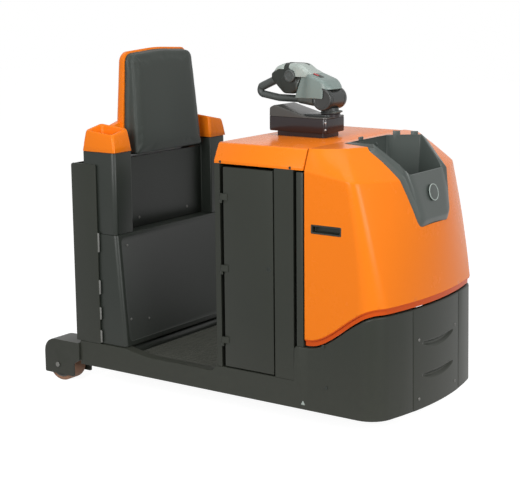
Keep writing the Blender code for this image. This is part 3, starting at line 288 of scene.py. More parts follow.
finishes = {
    "orange_paint": finish(
        "orangeMoulding", (0.84, 0.195, 0.008), 0.27, drift=0.05, dust=0.0,
        peel=(70, 0.5), bump=0.06, Specular_IOR_Level=0.15,
    ),
    "frame_paint": finish(
        "frameEnamel", (0.024, 0.027, 0.021), 0.42, drift=0.16, dust=0.03,
        peel=(260, 0.8), bump=0.25, Specular_IOR_Level=0.22,
    ),
    "moulded_black": finish(
        "darkMoulding", (0.019, 0.023, 0.019), 0.38, drift=0.12, dust=0.02, cell=(900, 0.8),
        peel=(40, 0.2), bump=0.2, Specular_IOR_Level=0.28,
    ),
    "tray_grey": finish(
        "trayMoulding", (0.048, 0.059, 0.053), 0.36, dust=0.01, cell=(1000, 0.8),
        peel=(60, 0.2), bump=0.12, Specular_IOR_Level=0.5,
    ),
    "handle_grey": finish("handleMoulding", (0.165, 0.215, 0.2), 0.38, cell=(1300, 0.6), bump=0.12),
    "cowl_grey": finish("cowlMoulding", (0.34, 0.39, 0.36), 0.32, cell=(1300, 0.5), bump=0.1),
    "platform_rubber": finish(
        "rubberMat", (0.026, 0.031, 0.025), 0.8, drift=0.3, dust=0.12,
        cell=(420, 1.0), bump=0.4, Specular_IOR_Level=0.3,
    ),
    "cushion_cover": finish(
        "cushionVinyl", (0.034, 0.041, 0.036), 0.5, drift=0.1, dust=0.02, cell=(520, 1.0), peel=(25, 0.3), bump=0.3,
        distance=0.0006, Specular_IOR_Level=0.28,
    ),
    "brown_tread": finish("treadPolyurethane", (0.3, 0.1, 0.03), 0.55, drift=0.25, dust=0.3),
    "bare_steel": finish("bareSteel", (0.45, 0.45, 0.44), 0.32, drift=0.1, Metallic=1.0),
    "cast_housing": finish("castHousing", (0.075, 0.077, 0.075), 0.58, drift=0.2, peel=(320, 1.0), bump=0.5),
}
# The console box is dark plastic. The slight red in its base colour is painted reflection of the orange lid below
# it.
glossBox = finish(
    "consoleGloss", (0.018, 0.013, 0.014), 0.2, drift=0.06, dust=0.0,
    cell=(900, 0.3), bump=0.05, Specular_IOR_Level=0.35,
)
satinCover = finish("consoleSatin", (0.042, 0.041, 0.037), 0.32, drift=0.06, dust=0.0, cell=(1100, 0.6), bump=0.12)
hubBlack = finish("hubMoulding", (0.02, 0.023, 0.022), 0.34, drift=0.08, dust=0.0, cell=(1000, 0.5), bump=0.1)
gripRubber = finish("gripRubber", (0.04, 0.048, 0.045), 0.5, drift=0.08, dust=0.0, cell=(1400, 0.9), bump=0.2)
dullZinc = finish("dullZinc", (0.16, 0.16, 0.15), 0.5, drift=0.2, Metallic=0.6)
# Painted shade: the hood's lip band is the same orange plastic, made darker and redder for the shade under the
# hood's lower edge.
lipPaintedShade = finish(
    "orangeShade", (0.58, 0.075, 0.006), 0.34, drift=0.05, dust=0.0, bump=0.05, Specular_IOR_Level=0.15,
)
buttonRed = finish("redMoulding", (0.33, 0.012, 0.015), 0.32, drift=0.04, dust=0.0, bump=0.04)
for name, obj in nodes.items():
    obj.data.materials.clear()
    obj.data.materials.append(finishes[slotOf[name]])
print("finishes ready:", len(finishes))

# Stations of the truck, the same as in the model: tail, back rest, battery bay, hood, nose.
station = {
    "tail": -0.8815,
    "back": -0.4565,
    "bay": 0.0765,
    "seam": 0.4945,
    "nose": 0.8815,
    "halfWidth": 0.4,
    "steerAxis": 0.3685,
    "noseRadius": 1.375,
    "frameFoot": 0.098,
    "bumperTop": 0.505,
    # The hood's lower edge: its height at the seam, and where it starts and ends its climb.
    "sill": (0.35, 0.024, 0.053),
    "platformTop": 0.16,
}
tail, back, bay, seam, nose = (station[k] for k in ("tail", "back", "bay", "seam", "nose"))
halfWidth, steerAxis = station["halfWidth"], station["steerAxis"]
rightLeft = ((-1, "right"), (1, "left"))
fit = 0.0003  # between two pieces that touch


# Every form is a pair of points and faces, made into a piece at the end.
def smoothStep(t):
    t = max(0.0, min(1.0, t))
    return t * t * (3 - 2 * t)


def rounded(corners, steps=6):
    out = []
    for k, (x, y, radius) in enumerate(corners):
        here = Vector((x, y))
        if radius <= 0:
            out.append((x, y))
            continue
        before = (Vector(corners[k - 1][:2]) - here).normalized()
        after = (Vector(corners[(k + 1) % len(corners)][:2]) - here).normalized()
        half = before.angle(after) / 2
        reach = radius / tan(half)
        centre = here + (before + after).normalized() * radius / sin(half)
        first, last = here + before * reach - centre, here + after * reach - centre
        turn = atan2(first.x * last.y - first.y * last.x, first.dot(last))
        for s in range(steps + 1):
            p = centre + Matrix.Rotation(turn * s / steps, 2) @ first
            out.append((p.x, p.y))
    return out


def bothWays(half):
    # The corners of half an outline, and the same mirrored.
    return [*half, *((-a, b, r) for a, b, r in reversed(half))]


def panel(a0, a1, b0, b1, soft, steps):
    # A rounded rectangle with one radius for all corners, or four.
    radii = soft if hasattr(soft, "__len__") else (soft,) * 4
    return rounded([(a, b, r) for (a, b), r in zip(((a0, b0), (a1, b0), (a1, b1), (a0, b1)), radii)], steps)


def shrunk(outline, by):
    # The outline drawn in by a distance, point by point.
    area = sum(xa * yb - xb * ya for (xa, ya), (xb, yb) in zip(outline, outline[1:] + outline[:1]))
    sign = 1 if area > 0 else -1
    out = []
    for k, (x, y) in enumerate(outline):
        (xa, ya), (xb, yb) = outline[k - 1], outline[(k + 1) % len(outline)]
        before = Vector((y - ya, xa - x)).normalized()
        after = Vector((yb - y, x - xb)).normalized()
        way = (before + after).normalized()
        # A sharp corner is drawn in by twice the distance at most.
        stretch = min(2.0, 1 / max(0.35, way.dot(before)))
        out.append((x - way.x * by * sign * stretch, y - way.y * by * sign * stretch))
    # Where a corner's arc has folded over, its points are drawn together.
    size = len(out)
    folded, pinch = [], 0.1
    for k in range(size):
        j = (k + 1) % size
        old = outline[j][0] - outline[k][0], outline[j][1] - outline[k][1]
        new = out[j][0] - out[k][0], out[j][1] - out[k][1]
        folded.append(old[0] * new[0] + old[1] * new[1] <= 0)
    if all(folded) or not any(folded):
        return out
    start = next(k for k in range(size) if folded[k] and not folded[k - 1])
    k = 0
    while k < size:
        run = [(start + k) % size]
        while folded[(start + k) % size] and k < size:
            k += 1
            run.append((start + k) % size)
        if len(run) == 1:
            k += 1
            continue
        middle = [sum(out[i][n] for i in run) / len(run) for n in (0, 1)]
        span = [outline[run[-1]][n] - outline[run[0]][n] for n in (0, 1)]
        for n, i in enumerate(run):
            t = (n / (len(run) - 1) - 0.5) * pinch
            out[i] = (middle[0] + span[0] * t * pinch, middle[1] + span[1] * t * pinch)
    return out


def along(axis, a, b, t):
    return {"X": (t, a, b), "Y": (a, t, b), "Z": (a, b, t)}[axis]


def loft(rings, caps=True, loop=False):
    size = len(rings[0])
    verts = [tuple(p) for ring in rings for p in ring]
    faces = []
    for k in range(len(rings) if loop else len(rings) - 1):
        low, high = k * size, ((k + 1) % len(rings)) * size
        faces += [(low + i, low + (i + 1) % size, high + (i + 1) % size, high + i) for i in range(size)]
    if caps and not loop:
        faces.append(tuple(range(size)))
        faces.append(tuple(reversed(range(len(verts) - size, len(verts)))))
    return verts, faces


def prism(outline, axis, low, high):
    return loft([[along(axis, a, b, low) for a, b in outline], [along(axis, a, b, high) for a, b in outline]])


def layered(outline, levels, axis="Z"):
    # Each level has its place on the axis and how far the outline is drawn in there.
    return loft([[along(axis, a, b, place) for a, b in shrunk(outline, draw)] for place, draw in levels])


def pillow(outline, axis, low, high, edge, steps=4):
    # A prism with both rims rounded over.
    turns = [pi / 2 * k / steps for k in range(steps + 1)]
    arc = [(edge * (1 - cos(a)), edge * (1 - sin(a))) for a in turns]
    levels = [(low + rise, draw) for rise, draw in arc] + [(high - rise, draw) for rise, draw in reversed(arc)]
    return layered(outline, levels, axis)


def ringAt(a, b, radius, steps=32, start=0.0):
    return [
        (a + radius * cos(start + 2 * pi * k / steps), b + radius * sin(start + 2 * pi * k / steps))
        for k in range(steps)
    ]


def turned(profile, axis, a, b, steps=40, loop=False):
    return loft(
        [[along(axis, p, q, place) for p, q in ringAt(a, b, radius, steps)] for radius, place in profile],
        loop=loop,
    )


def bothEnds(half, middle=0.0):
    # A profile that ends as it starts, about its middle.
    return [(r, middle + place) for r, place in [*half, *((r, -place) for r, place in reversed(half))]]


def boxed(x0, x1, y0, y1, z0, z1):
    return prism([(x0, y0), (x1, y0), (x1, y1), (x0, y1)], "Z", z0, z1)


def tubed(points, radii, sides=14):
    # A round bar along any path, its rings turned as little as they can be.
    points = [Vector(p) for p in points]
    if not hasattr(radii, "__len__"):
        radii = [radii] * len(points)
    side = None
    rings = []
    for k, (point, radius) in enumerate(zip(points, radii)):
        ahead = (points[min(k + 1, len(points) - 1)] - points[max(k - 1, 0)]).normalized()
        side = (side or ahead.orthogonal()).normalized()
        side = (side - ahead * side.dot(ahead)).normalized()
        other = ahead.cross(side)
        rings.append(
            [
                point + side * radius * cos(t) + other * radius * sin(t)
                for t in (2 * pi * s / sides for s in range(sides))
            ]
        )
    return loft(rings)


def placed(shape, place, normal=(0, 0, 1), spin=0.0):
    # A form made about the Z axis, set on a point and turned to face along a normal.
    turn = Vector(normal).to_track_quat("Z", "Y").to_matrix() @ Matrix.Rotation(spin, 3, "Z")
    return [tuple(Vector(place) + turn @ Vector(v)) for v in shape[0]], shape[1]


def moved(shape, dx=0.0, dy=0.0, dz=0.0):
    return [(x + dx, y + dy, z + dz) for x, y, z in shape[0]], shape[1]


def mirrored(shape):
    return [(x, -y, z) for x, y, z in shape[0]], [tuple(reversed(f)) for f in shape[1]]


def joined(*shapes):
    verts, faces = [], []
    for points, sides in shapes:
        faces += [tuple(i + len(verts) for i in side) for side in sides]
        verts += [tuple(p) for p in points]
    return verts, faces


def meshOf(name, shape):
    form = bmesh.new()
    points = [form.verts.new(v) for v in shape[0]]
    for face in shape[1]:
        form.faces.new([points[i] for i in face])
    bmesh.ops.recalc_face_normals(form, faces=form.faces)
    mesh = bpy.data.meshes.new(name)
    form.to_mesh(mesh)
    form.free()
    return mesh


def settle(piece, body, slot, *replaced):
    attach(piece, body)
    if replaced:
        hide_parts(*replaced)


def rimmed(piece, width, segments=2, angle=32):
    edge = piece.modifiers.new("rim", "BEVEL")
    edge.width, edge.segments, edge.limit_method = width, segments, "ANGLE"
    edge.angle_limit = radians(angle)
    edge.harden_normals = False


def carved(piece, shape, how="DIFFERENCE"):
    # The cutter works once and is then dropped, so no helper stays in the file.
    tool = bpy.data.objects.new("cutter", meshOf("cutter", shape))
    scene.collection.objects.link(tool)
    step = piece.modifiers.new("carve", "BOOLEAN")
    step.object, step.operation, step.solver = tool, how, "EXACT"
    applied(piece)
    bpy.data.objects.remove(tool)


def applied(piece):
    graph = bpy.context.evaluated_depsgraph_get()
    mesh = bpy.data.meshes.new_from_object(piece.evaluated_get(graph))
    piece.modifiers.clear()
    piece.data = mesh


def made(name, shape, slot, body="tractor", replaced=(), rim=0.0, segments=2, smooth=35, material=None, cuts=()):
    piece = bpy.data.objects.new(name, meshOf(name, shape))
    scene.collection.objects.link(piece)
    piece.data.materials.append(material or finishes[slot])
    for cut in cuts:
        carved(piece, cut)
    piece.data.shade_smooth()
    piece.data.set_sharp_from_angle(angle=radians(smooth))
    if rim:
        rimmed(piece, rim, segments, smooth)
    settle(piece, body, slot, *replaced)
    return piece


def fixings(name, forms, slot="bare_steel", body="tractor", material=None):
    made(name, joined(*forms), slot, body, smooth=30, material=material)


# Small hardware, made about the Z axis with its foot at z = 0.
def hexBolt(across=0.01, height=0.005, washer=0.0):
    half = across / 2 / cos(pi / 6)
    head = loft(
        [
            [(x, y, washer) for x, y in ringAt(0, 0, half, 6)],
            [(x, y, washer + height * 0.8) for x, y in ringAt(0, 0, half, 6)],
            [(x, y, washer + height) for x, y in ringAt(0, 0, half * 0.86, 6)],
        ]
    )
    if not washer:
        return head
    return joined(
        head, turned([(half * 1.35, -0.0004), (half * 1.35, washer * 0.7), (half * 1.2, washer)], "Z", 0, 0, 24),
    )


def domedScrew(radius=0.006, height=0.0026, socket=0.45):
    # A button head with a six-sided socket sunk in it.
    hole = radius * socket
    profile = [
        (radius, -0.0004), (radius, height * 0.25), (radius * 0.93, height * 0.62), (radius * 0.72, height * 0.93),
        (hole * 1.18, height),
    ]
    rings = [[(x, y, z) for x, y in ringAt(0, 0, r, 24)] for r, z in profile]
    six = []
    for x, y in ringAt(0, 0, 1, 24):
        a = atan2(y, x) % (pi / 3) - pi / 6
        reach = hole * cos(pi / 6) / cos(a)
        six.append((x * reach, y * reach))
    rings.append([(x, y, height) for x, y in six])
    rings.append([(x, y, height * 0.25) for x, y in six])
    return loft(rings)


# A CAD node's own form again, with its sharp edges broken.
def dressed(name, width, segments=2, angle=32, material=None):
    source = nodes[name]
    form = bmesh.new()
    form.from_mesh(source.data)
    bmesh.ops.remove_doubles(form, verts=form.verts, dist=0.00002)
    bmesh.ops.dissolve_limit(form, angle_limit=radians(1.2), verts=form.verts, edges=form.edges)
    mesh = bpy.data.meshes.new(name + "_dressed")
    form.to_mesh(mesh)
    form.free()
    piece = bpy.data.objects.new(name + "_dressed", mesh)
    scene.collection.objects.link(piece)
    mesh.materials.append(material or finishes[slotOf[name]])
    edge = piece.modifiers.new("edge", "BEVEL")
    edge.width, edge.segments, edge.limit_method = width, segments, "ANGLE"
    edge.angle_limit = radians(angle)
    mesh.shade_smooth()
    mesh.set_sharp_from_angle(angle=radians(angle))
    settle(piece, bodyOf[name], slotOf[name], name)
    return piece


# Hood: the moulding over the drive bay, smooth from the lip to its shoulder, with a flat chamfer above it.
hoodForm = {
    "rear": seam + 0.0092,
    "side": 0.002,
    "wall": 0.004,
    "lip": (0.0068, 0.025, 0.013),
    "corner": 0.1,
    # Inset at the front, front radius, corner radius, inset at the side, height at the rear and front, taper.
    "rows": (
        (0.007, 1.25, 0.09, 0, 0.45, 0.62, 0),
        (0.017, 1.0, 0.07, 0, 0.62, 0.745, 0),
        (0.035, 0.88, 0.06, 0, 0.84, 0.874, 0),
        (0.066, 0.85, 0.05, 0.001, 1.04, 0.997, 0),
        (0.116, 0.75, 0.055, 0.0175, 1.082, 1.063, 0.08),
        (0.153, 0.7, 0.06, 0.031, 1.115, 1.109, 0.2),
        (0.165, 0.7, 0.06, 0.036, 1.124, 1.123, 0.22),
    ),
    "sides": 26,
    "corners": 14,
    "fronts": 16,
}


def nosePlan(front, radius, corner, side):
    rear, sides, corners, fronts = (hoodForm[k] for k in ("rear", "sides", "corners", "fronts"))
    reach = sqrt((radius - corner) ** 2 - (side - corner) ** 2)
    middle = front - radius + reach
    turn = atan2(side - corner, reach)
    out = [(rear + (middle - rear) * k / sides, -side, 0.0, -1.0) for k in range(sides)]
    for k in range(corners + 1):
        a = -pi / 2 + (pi / 2 - turn) * k / corners
        out.append((middle + corner * cos(a), corner - side + corner * sin(a), cos(a), sin(a)))
    for k in range(1, fronts + 1):
        a = -turn + turn * k / fronts
        out.append((front - radius + radius * cos(a), radius * sin(a), cos(a), sin(a)))
    return out


def sillAt(x):
    low, start, end = station["sill"]
    return low + (station["bumperTop"] - low) * smoothStep((x - seam - start) / (nose - end - seam - start))


def hoodLine(inset, radius, corner, side, taper):
    out = []
    plan = nosePlan(nose - inset, radius, corner, halfWidth - hoodForm["side"] - side)
    for x, y, nx, ny in plan:
        share = (x - hoodForm["rear"]) / (nose - inset - hoodForm["rear"])
        out.append((x, y * (1 - taper * smoothStep(share * 1.2)), nx, ny, share))
    return out


def hoodRow(row):
    inset, radius, corner, side, rearZ, frontZ, taper = row
    return [
        Vector((x, y, rearZ + (frontZ - rearZ) * share))
        for x, y, nx, ny, share in hoodLine(inset, radius, corner, side, taper)
    ]


def curved(rows, steps):
    # A smooth sweep that starts and ends on the first and last row and rounds off each row between.
    out = [rows[0]]
    for k in range(1, len(rows) - 1):
        start = rows[0] if k == 1 else [(p + q) / 2 for p, q in zip(rows[k - 1], rows[k])]
        end = rows[-1] if k == len(rows) - 2 else [(p + q) / 2 for p, q in zip(rows[k], rows[k + 1])]
        for s in range(1, steps + 1):
            t = s / steps
            out.append([a * (1 - t) ** 2 + b * 2 * t * (1 - t) + c * t * t for a, b, c in zip(start, rows[k], end)])
    return out


def between(a, b, t):
    return [p + (q - p) * t for p, q in zip(a, b)]


def hoodHalf():
    gap, tall, inset = hoodForm["lip"]
    top = gap + tall
    foot = hoodLine(0.002, 1.375, hoodForm["corner"], 0, 0)
    out = []
    for draw, rise in (
        (inset, gap), (inset, top - 0.002), (inset - 0.0015, top), (0.0015, top + 0.0005), (0.0, top + 0.002),
    ):
        out.append([Vector((x - nx * draw, y - ny * draw, sillAt(x) + rise)) for x, y, nx, ny, share in foot])
    rows = [hoodRow(row) for row in hoodForm["rows"]]
    smooth, shoulder = curved([out[-1], *rows[:4]], 8), curved(rows[3:], 8)
    # The crease between the two sweeps is a narrow round.
    near, far = between(rows[3], smooth[-2], 0.16), between(rows[3], shoulder[1], 0.2)
    out += smooth[1:-1]
    out += [near, [p * 0.25 + q * 0.5 + r * 0.25 for p, q, r in zip(near, rows[3], far)], far]
    out += shoulder[1:-1]
    return [*out, between(rows[6], shoulder[-2], 0.4), rows[6]]


def hoodFull():
    return [half + [Vector((p.x, -p.y, p.z)) for p in reversed(half[:-1])] for half in hoodHalf()]


def hoodShape(rings, topped):
    size = len(rings[0])
    half = (size + 1) // 2
    verts = [tuple(p) for ring in rings for p in ring]
    faces = []
    for k in range(len(rings) - 1):
        faces += [
            (k * size + i, k * size + i + 1, (k + 1) * size + i + 1, (k + 1) * size + i)
            for i in range(size - 1)
        ]
    top = (len(rings) - 1) * size
    for i in range(half - 1 if topped else 0):
        right, left = top + i, top + size - 1 - i
        faces.append((right, right + 1, left - 1, left) if right + 1 != left - 1 else (right, right + 1, left))
    return verts, faces


# The storage tray's own plane slopes at 45 degrees between the top and the front.
trayForm = {
    "lean": radians(45),
    "foot": 0.353,
    # Half of the outline and of the basin: across, along the slope or the length, corner radius.
    "plan": ((0.116, 0.348, 0.034), (0.178, 0.513, 0.02), (0.213, 0.677, 0.014), (0.163, 0.79, 0.006)),
    "basin": ((0.051, 0.142, 0.012), (0.178, 0.19, 0.012), (0.304, 0.132, 0.016)),
    "bow": 0.011,
    "proud": 0.016,
    "proudTop": 0.004,
    "chamfer": 0.011,
    "clear": 0.0007,
    "floor": 0.945,
    "wall": 0.005,
    "lidTop": 1.122,
}


def trayPoint(across, slope, out):
    lean = trayForm["lean"]
    x = nose - trayForm["foot"] + out * cos(lean) - slope * sin(lean)
    return (x, across, out * sin(lean) + slope * cos(lean))


skin = BVHTree.FromPolygons(*loft(hoodFull()[8:]))


def onHood(across, slope, proud):
    inward = Vector(trayPoint(0, 0, -1)) - Vector(trayPoint(0, 0, 0))
    place = skin.ray_cast(Vector(trayPoint(across, slope, 1.3)), inward)[0]
    return Vector(place) - inward * proud


def trayPlace(x, y):
    z = skin.ray_cast(Vector((x, y, 2)), Vector((0, 0, -1)))[0].z
    run = x - nose + trayForm["foot"]
    return y, z * cos(trayForm["lean"]) - run * sin(trayForm["lean"])


def evened(corners, shares, turns=5):
    line = rounded(corners, turns)
    out = []
    for k, count in enumerate(shares):
        out += line[(turns + 1) * k : (turns + 1) * (k + 1)]
        (xa, ya), (xb, yb) = line[(turns + 1) * k + turns], line[((turns + 1) * (k + 1)) % len(line)]
        out += [(xa + (xb - xa) * t / count, ya + (yb - ya) * t / count) for t in range(1, count)]
    return out


cornerTurns = 5
trayCounts = (6, 6, 6, 14, 6, 6, 6, 12)


def basinLines():
    (rearX, rearY, rearR), (sideX, sideY, sideR), (frontX, frontY, frontR) = trayForm["basin"]
    corners = (
        (frontY, seam + frontX, frontR),
        (frontY + (sideY - frontY) * 0.3, seam + frontX + (sideX - frontX) * 0.3, 0.004),
        (sideY, seam + sideX, sideR),
        (rearY, seam + rearX, rearR),
    )
    return evened(bothWays(corners), trayCounts, cornerTurns), evened(
        bothWays(trayForm["plan"]), trayCounts, cornerTurns,
    )


basinLine, trayLine = basinLines()


def basinRing(grow, z):
    middle = seam + 0.052 + 0.12
    frontY = trayForm["basin"][2][1]
    ring = []
    for y, x in basinLine:
        bow = trayForm["bow"] * max(0, 1 - (y / frontY) ** 2) if x > middle else 0
        ring.append((middle + (x + bow - middle) * (1 + grow / 0.11), y * (1 + grow / 0.17), z))
    return ring


def straightened(ring):
    # Between its corners the tray's edge runs straight, whatever the face under it does.
    out = list(ring)
    place = 0
    for count in trayCounts:
        start, end = place + cornerTurns, (place + cornerTurns + count) % len(ring)
        a, b = Vector(ring[start]), Vector(ring[end])
        if count != trayCounts[3]:
            for t in range(1, count):
                out[start + t] = a + (b - a) * t / count
        place += cornerTurns + count
    return out


def rimRing(share, inset, proud, grow=0.0, drop=0.0):
    low, high = trayForm["plan"][2][1] - 0.015, trayForm["plan"][3][1]
    ring = []
    for (x, y, z), (across, slope) in zip(basinRing(grow, 0), trayLine):
        rise = 1 - (1 - trayForm["proudTop"] / trayForm["proud"]) * max(0, min(1, (slope - low) / (high - low)))
        draw = 1 - inset * (rise if proud > 0 else 1) / 0.2
        inner = trayPlace(x, y)
        edge = (across * draw, 0.57 + (slope - 0.57) * draw)
        across, slope = (a + (b - a) * share for a, b in zip(inner, edge))
        ring.append(onHood(across, slope, (proud * rise if proud > 0 else proud) - drop))
    return straightened(ring)


def trayShape():
    proud, chamfer, floor = trayForm["proud"], trayForm["chamfer"], trayForm["floor"]
    skirt = hoodForm["wall"] + 0.008
    return loft(
        [
            basinRing(-0.03, floor),
            basinRing(-0.012, floor),
            basinRing(-0.0065, floor + 0.0018),
            basinRing(-0.0035, floor + 0.0055),
            basinRing(-0.002, floor + 0.011),
            rimRing(0, 0, proud, -0.0012, 0.006),
            rimRing(0, 0, proud, -0.0004, 0.002),
            rimRing(0, 0, proud, 0.0006, 0.0004),
            rimRing(0.02, 0, proud),
            rimRing(0.4, chamfer, proud),
            rimRing(0.96, chamfer, proud),
            rimRing(1, chamfer + 0.0003, proud, drop=0.0002),
            rimRing(1, chamfer - 0.0012, proud, drop=0.0016),
            rimRing(1, trayForm["clear"] + 0.001, 0.0025),
            rimRing(1, trayForm["clear"], 0.0006),
            rimRing(1, trayForm["clear"], -skirt),
            rimRing(0, 0, -skirt, trayForm["wall"]),
            basinRing(trayForm["wall"], floor - trayForm["wall"]),
        ]
    )


def hookShapes():
    rimX, rimY = seam + trayForm["basin"][0][0], trayForm["basin"][0][1]
    out = []
    for x, y, turn, up in (
        (rimX, -0.05, 0, 0), (rimX + 0.04, rimY + 0.014, 68, 0.006), (rimX + 0.108, rimY + 0.04, 68, 0.006),
    ):
        top = trayForm["lidTop"] + 0.017 + up
        tab = rounded(
            [(0.0005, top - 0.037, 0), (0.0005, top, 0.0034), (-0.006, top, 0.0018), (-0.006, top - 0.037, 0)], 5,
        )
        verts, faces = pillow(tab, "Y", -0.015, 0.015, 0.0012, 2)
        across = Matrix.Rotation(radians(-turn), 3, "Z")
        out.append(([tuple(Vector((x, y, 0)) + across @ Vector(v)) for v in verts], faces))
    return out


def trayOpening():
    outline = rounded(bothWays(trayForm["plan"]), 5)
    return loft([[trayPoint(y, s, out) for y, s in outline] for out in (0.72, 1.1)])


gripForm = {
    "rear": hoodForm["rear"] + 0.03, "long": 0.136, "tall": 0.036, "z": 0.8215, "deep": 0.026, "frame": 0.006,
}


def gripOutline(grow, radius):
    rear, half = gripForm["rear"], gripForm["tall"] / 2
    low, high = rear - grow, rear + gripForm["long"] + grow
    foot, head = gripForm["z"] - half - grow, gripForm["z"] + half + grow
    return panel(low, high, foot, head, radius, 5)


def gripShape(side):
    face, frame, deep = halfWidth - hoodForm["side"], gripForm["frame"], gripForm["deep"]
    # Growth of the outline, corner radius and place before the hood's face.
    rows = (
        (-fit, 0.004, -deep), (-fit, 0.004, fit), (-0.001, 0.0035, 0.0012), (-frame + 0.0015, 0.003, 0.0012),
        (-frame - 0.0002, 0.003, 0.0002), (-frame - 0.0008, 0.003, -deep + 0.006),
        (-frame - 0.0035, 0.002, -deep + 0.003),
    )
    return loft([[(x, side * (face + out), z) for x, z in gripOutline(grow, radius)] for grow, radius, out in rows])


def walled(name, shape, material):
    piece = bpy.data.objects.new(name, meshOf(name, shape))
    scene.collection.objects.link(piece)
    piece.data.materials.append(material)
    wall = piece.modifiers.new("wall", "SOLIDIFY")
    wall.thickness, wall.offset, wall.use_even_offset, wall.use_rim = hoodForm["wall"], -1, True, True
    return piece


def addHood():
    rings = hoodFull()
    # The lip band takes the darker orange finish, painted shade under the hood's lower edge.
    lip = walled("hoodLip", hoodShape(rings[:4], False), lipPaintedShade)
    applied(lip)
    lip.data.shade_smooth()
    lip.data.set_sharp_from_angle(angle=radians(38))
    settle(lip, "hood", "orange_paint")
    piece = walled("hoodShell", hoodShape(rings[3:], True), finishes["orange_paint"])
    carved(piece, trayOpening())
    face = halfWidth - hoodForm["side"]
    for side in (-1, 1):
        carved(piece, prism(gripOutline(0, 0.004), "Y", *sorted((side * (face + 0.01), side * (face - 0.012)))))
    piece.data.shade_smooth()
    piece.data.set_sharp_from_angle(angle=radians(38))
    rimmed(piece, 0.0009, 2, 50)
    settle(piece, "hood", "orange_paint", "hood")

    tray = joined(trayShape(), *hookShapes())
    made("trayMoulding", tray, "tray_grey", "hood", ("storage_tray",), smooth=34)

    x = seam + trayForm["basin"][0][0] + 0.0008
    rib = rounded([(x - 0.003, 1.108, 0), (x + 0.007, 1.1, 0.003), (x + 0.0075, 0.955, 0), (x - 0.003, 0.95, 0)], 3)
    ribs = [pillow(rib, "Y", y - 0.0022, y + 0.0022, 0.0006, 2) for y in (-0.06, 0.0, 0.06)]
    made("trayRibs", joined(*ribs), "tray_grey", "hood")

    # A plain disc where such trucks carry a badge.
    inward = Vector(trayPoint(0, 0, -1)) - Vector(trayPoint(0, 0, 0))
    foot, normal = skin.ray_cast(Vector(trayPoint(0, 0.439, 1.3)), inward)[:2]
    foot = Vector(foot) - inward * (trayForm["proud"] + 0.0002)
    normal = normal if normal.x > 0 else -normal
    disc = turned([(0.031, -0.001), (0.031, 0.001), (0.029, 0.0012), (0.0001, 0.0018)], "Z", 0, 0, 64)
    made("badgeDisc", placed(disc, foot, normal), "tray_grey", "hood", smooth=30)
    ring = turned(
        [(0.0335, -0.001), (0.0335, 0.0014), (0.0328, 0.0024), (0.0308, 0.0024), (0.03, 0.0014), (0.03, -0.001)],
        "Z", 0, 0, 64,
    )
    made("badgeRing", placed(ring, foot, normal), "cowl_grey", "hood", smooth=30)

    for side, name in rightLeft:
        made("gripCup_" + name, gripShape(side), "moulded_black", "hood", ("hood_grip_" + name,), smooth=40)


addHood()
print("hood, tray and grips ready")


# The two towers and the walls between them. The lower wall is raked, from its foot up to its head.
towerForm = {
    "rear": tail + 0.249,
    "side": 0.389,
    "panel": 0.277,
    "split": 0.693,
    "top": 1.041,
    "capTall": 0.0745,
    "taper": 0.014,
    "foot": 0.2053,
    "rake": 0.038,
}

# Back rest: one foam-filled moulding, crowned in front, pulled in round its edge.
padForm = {
    "bottom": 1.01, "height": 0.448, "low": 0.233, "high": 0.211, "crown": 0.012, "corner": 0.04, "depth": 0.0845,
    "lean": 4.6, "shell": (0.05, 0.034), "shellFoot": 1.0085,
}


def backOutline(grow, top, steps=10):
    low, high = padForm["low"] + grow, padForm["high"] + grow
    crown = top - padForm["crown"]
    line = rounded(
        [
            (-low, 0, 0.014), (low, 0, 0.014), (high, crown, padForm["corner"]), (0, top, high * 4),
            (-high, crown, padForm["corner"]),
        ],
        steps,
    )
    # Points set evenly all the way round, so that the crown has no long thin faces.
    total = [0.0]
    for (xa, ya), (xb, yb) in zip(line, line[1:] + line[:1]):
        total.append(total[-1] + hypot(xb - xa, yb - ya))
    count, out, k = 180, [], 0
    for i in range(count):
        want = total[-1] * i / count
        while total[k + 1] < want:
            k += 1
        t = (want - total[k]) / max(1e-9, total[k + 1] - total[k])
        (xa, ya), (xb, yb) = line[k], line[(k + 1) % len(line)]
        out.append((xa + (xb - xa) * t, ya + (yb - ya) * t))
    return out


def padShape(slack):
    rear = back - padForm["depth"]
    middle = padForm["height"] * 0.5
    base = shrunk(backOutline(0, padForm["height"]), slack * 0.4)

    def frontAt(y, z):
        crown = max(0.0, 1 - (y / padForm["low"]) ** 4) * max(0.0, 1 - ((z - middle) / middle) ** 4)
        return back - z * tan(radians(padForm["lean"])) - 0.0035 - slack + 0.004 * crown

    rings = []
    # The rear edge and the sides, then the rounded front edge and the crowned face.
    for inset, share in ((0.006, 0.0), (0.002, 0.012), (0.0, 0.05), (0.0, 0.55), (0.0, 0.8)):
        ring = []
        for y, z in shrunk(base, inset):
            front = frontAt(y, z)
            ring.append((rear + (front - rear) * share, y, padForm["bottom"] + z))
        rings.append(ring)
    radius = 0.013
    for k in range(1, 7):
        a = pi / 2 * k / 6
        ring = []
        for y, z in shrunk(base, radius * (1 - cos(a))):
            ring.append((frontAt(y, z) - radius * (1 - sin(a)) * 0.9, y, padForm["bottom"] + z))
        rings.append(ring)
    for t in (0.14, 0.25, 0.4, 0.55, 0.7, 0.85, 0.95):
        ring = []
        for y, z in shrunk(base, radius):
            y, z = y * (1 - t), middle + (z - middle) * (1 - t)
            ring.append((frontAt(y, z), y, padForm["bottom"] + z))
        rings.append(ring)
    return loft(rings)


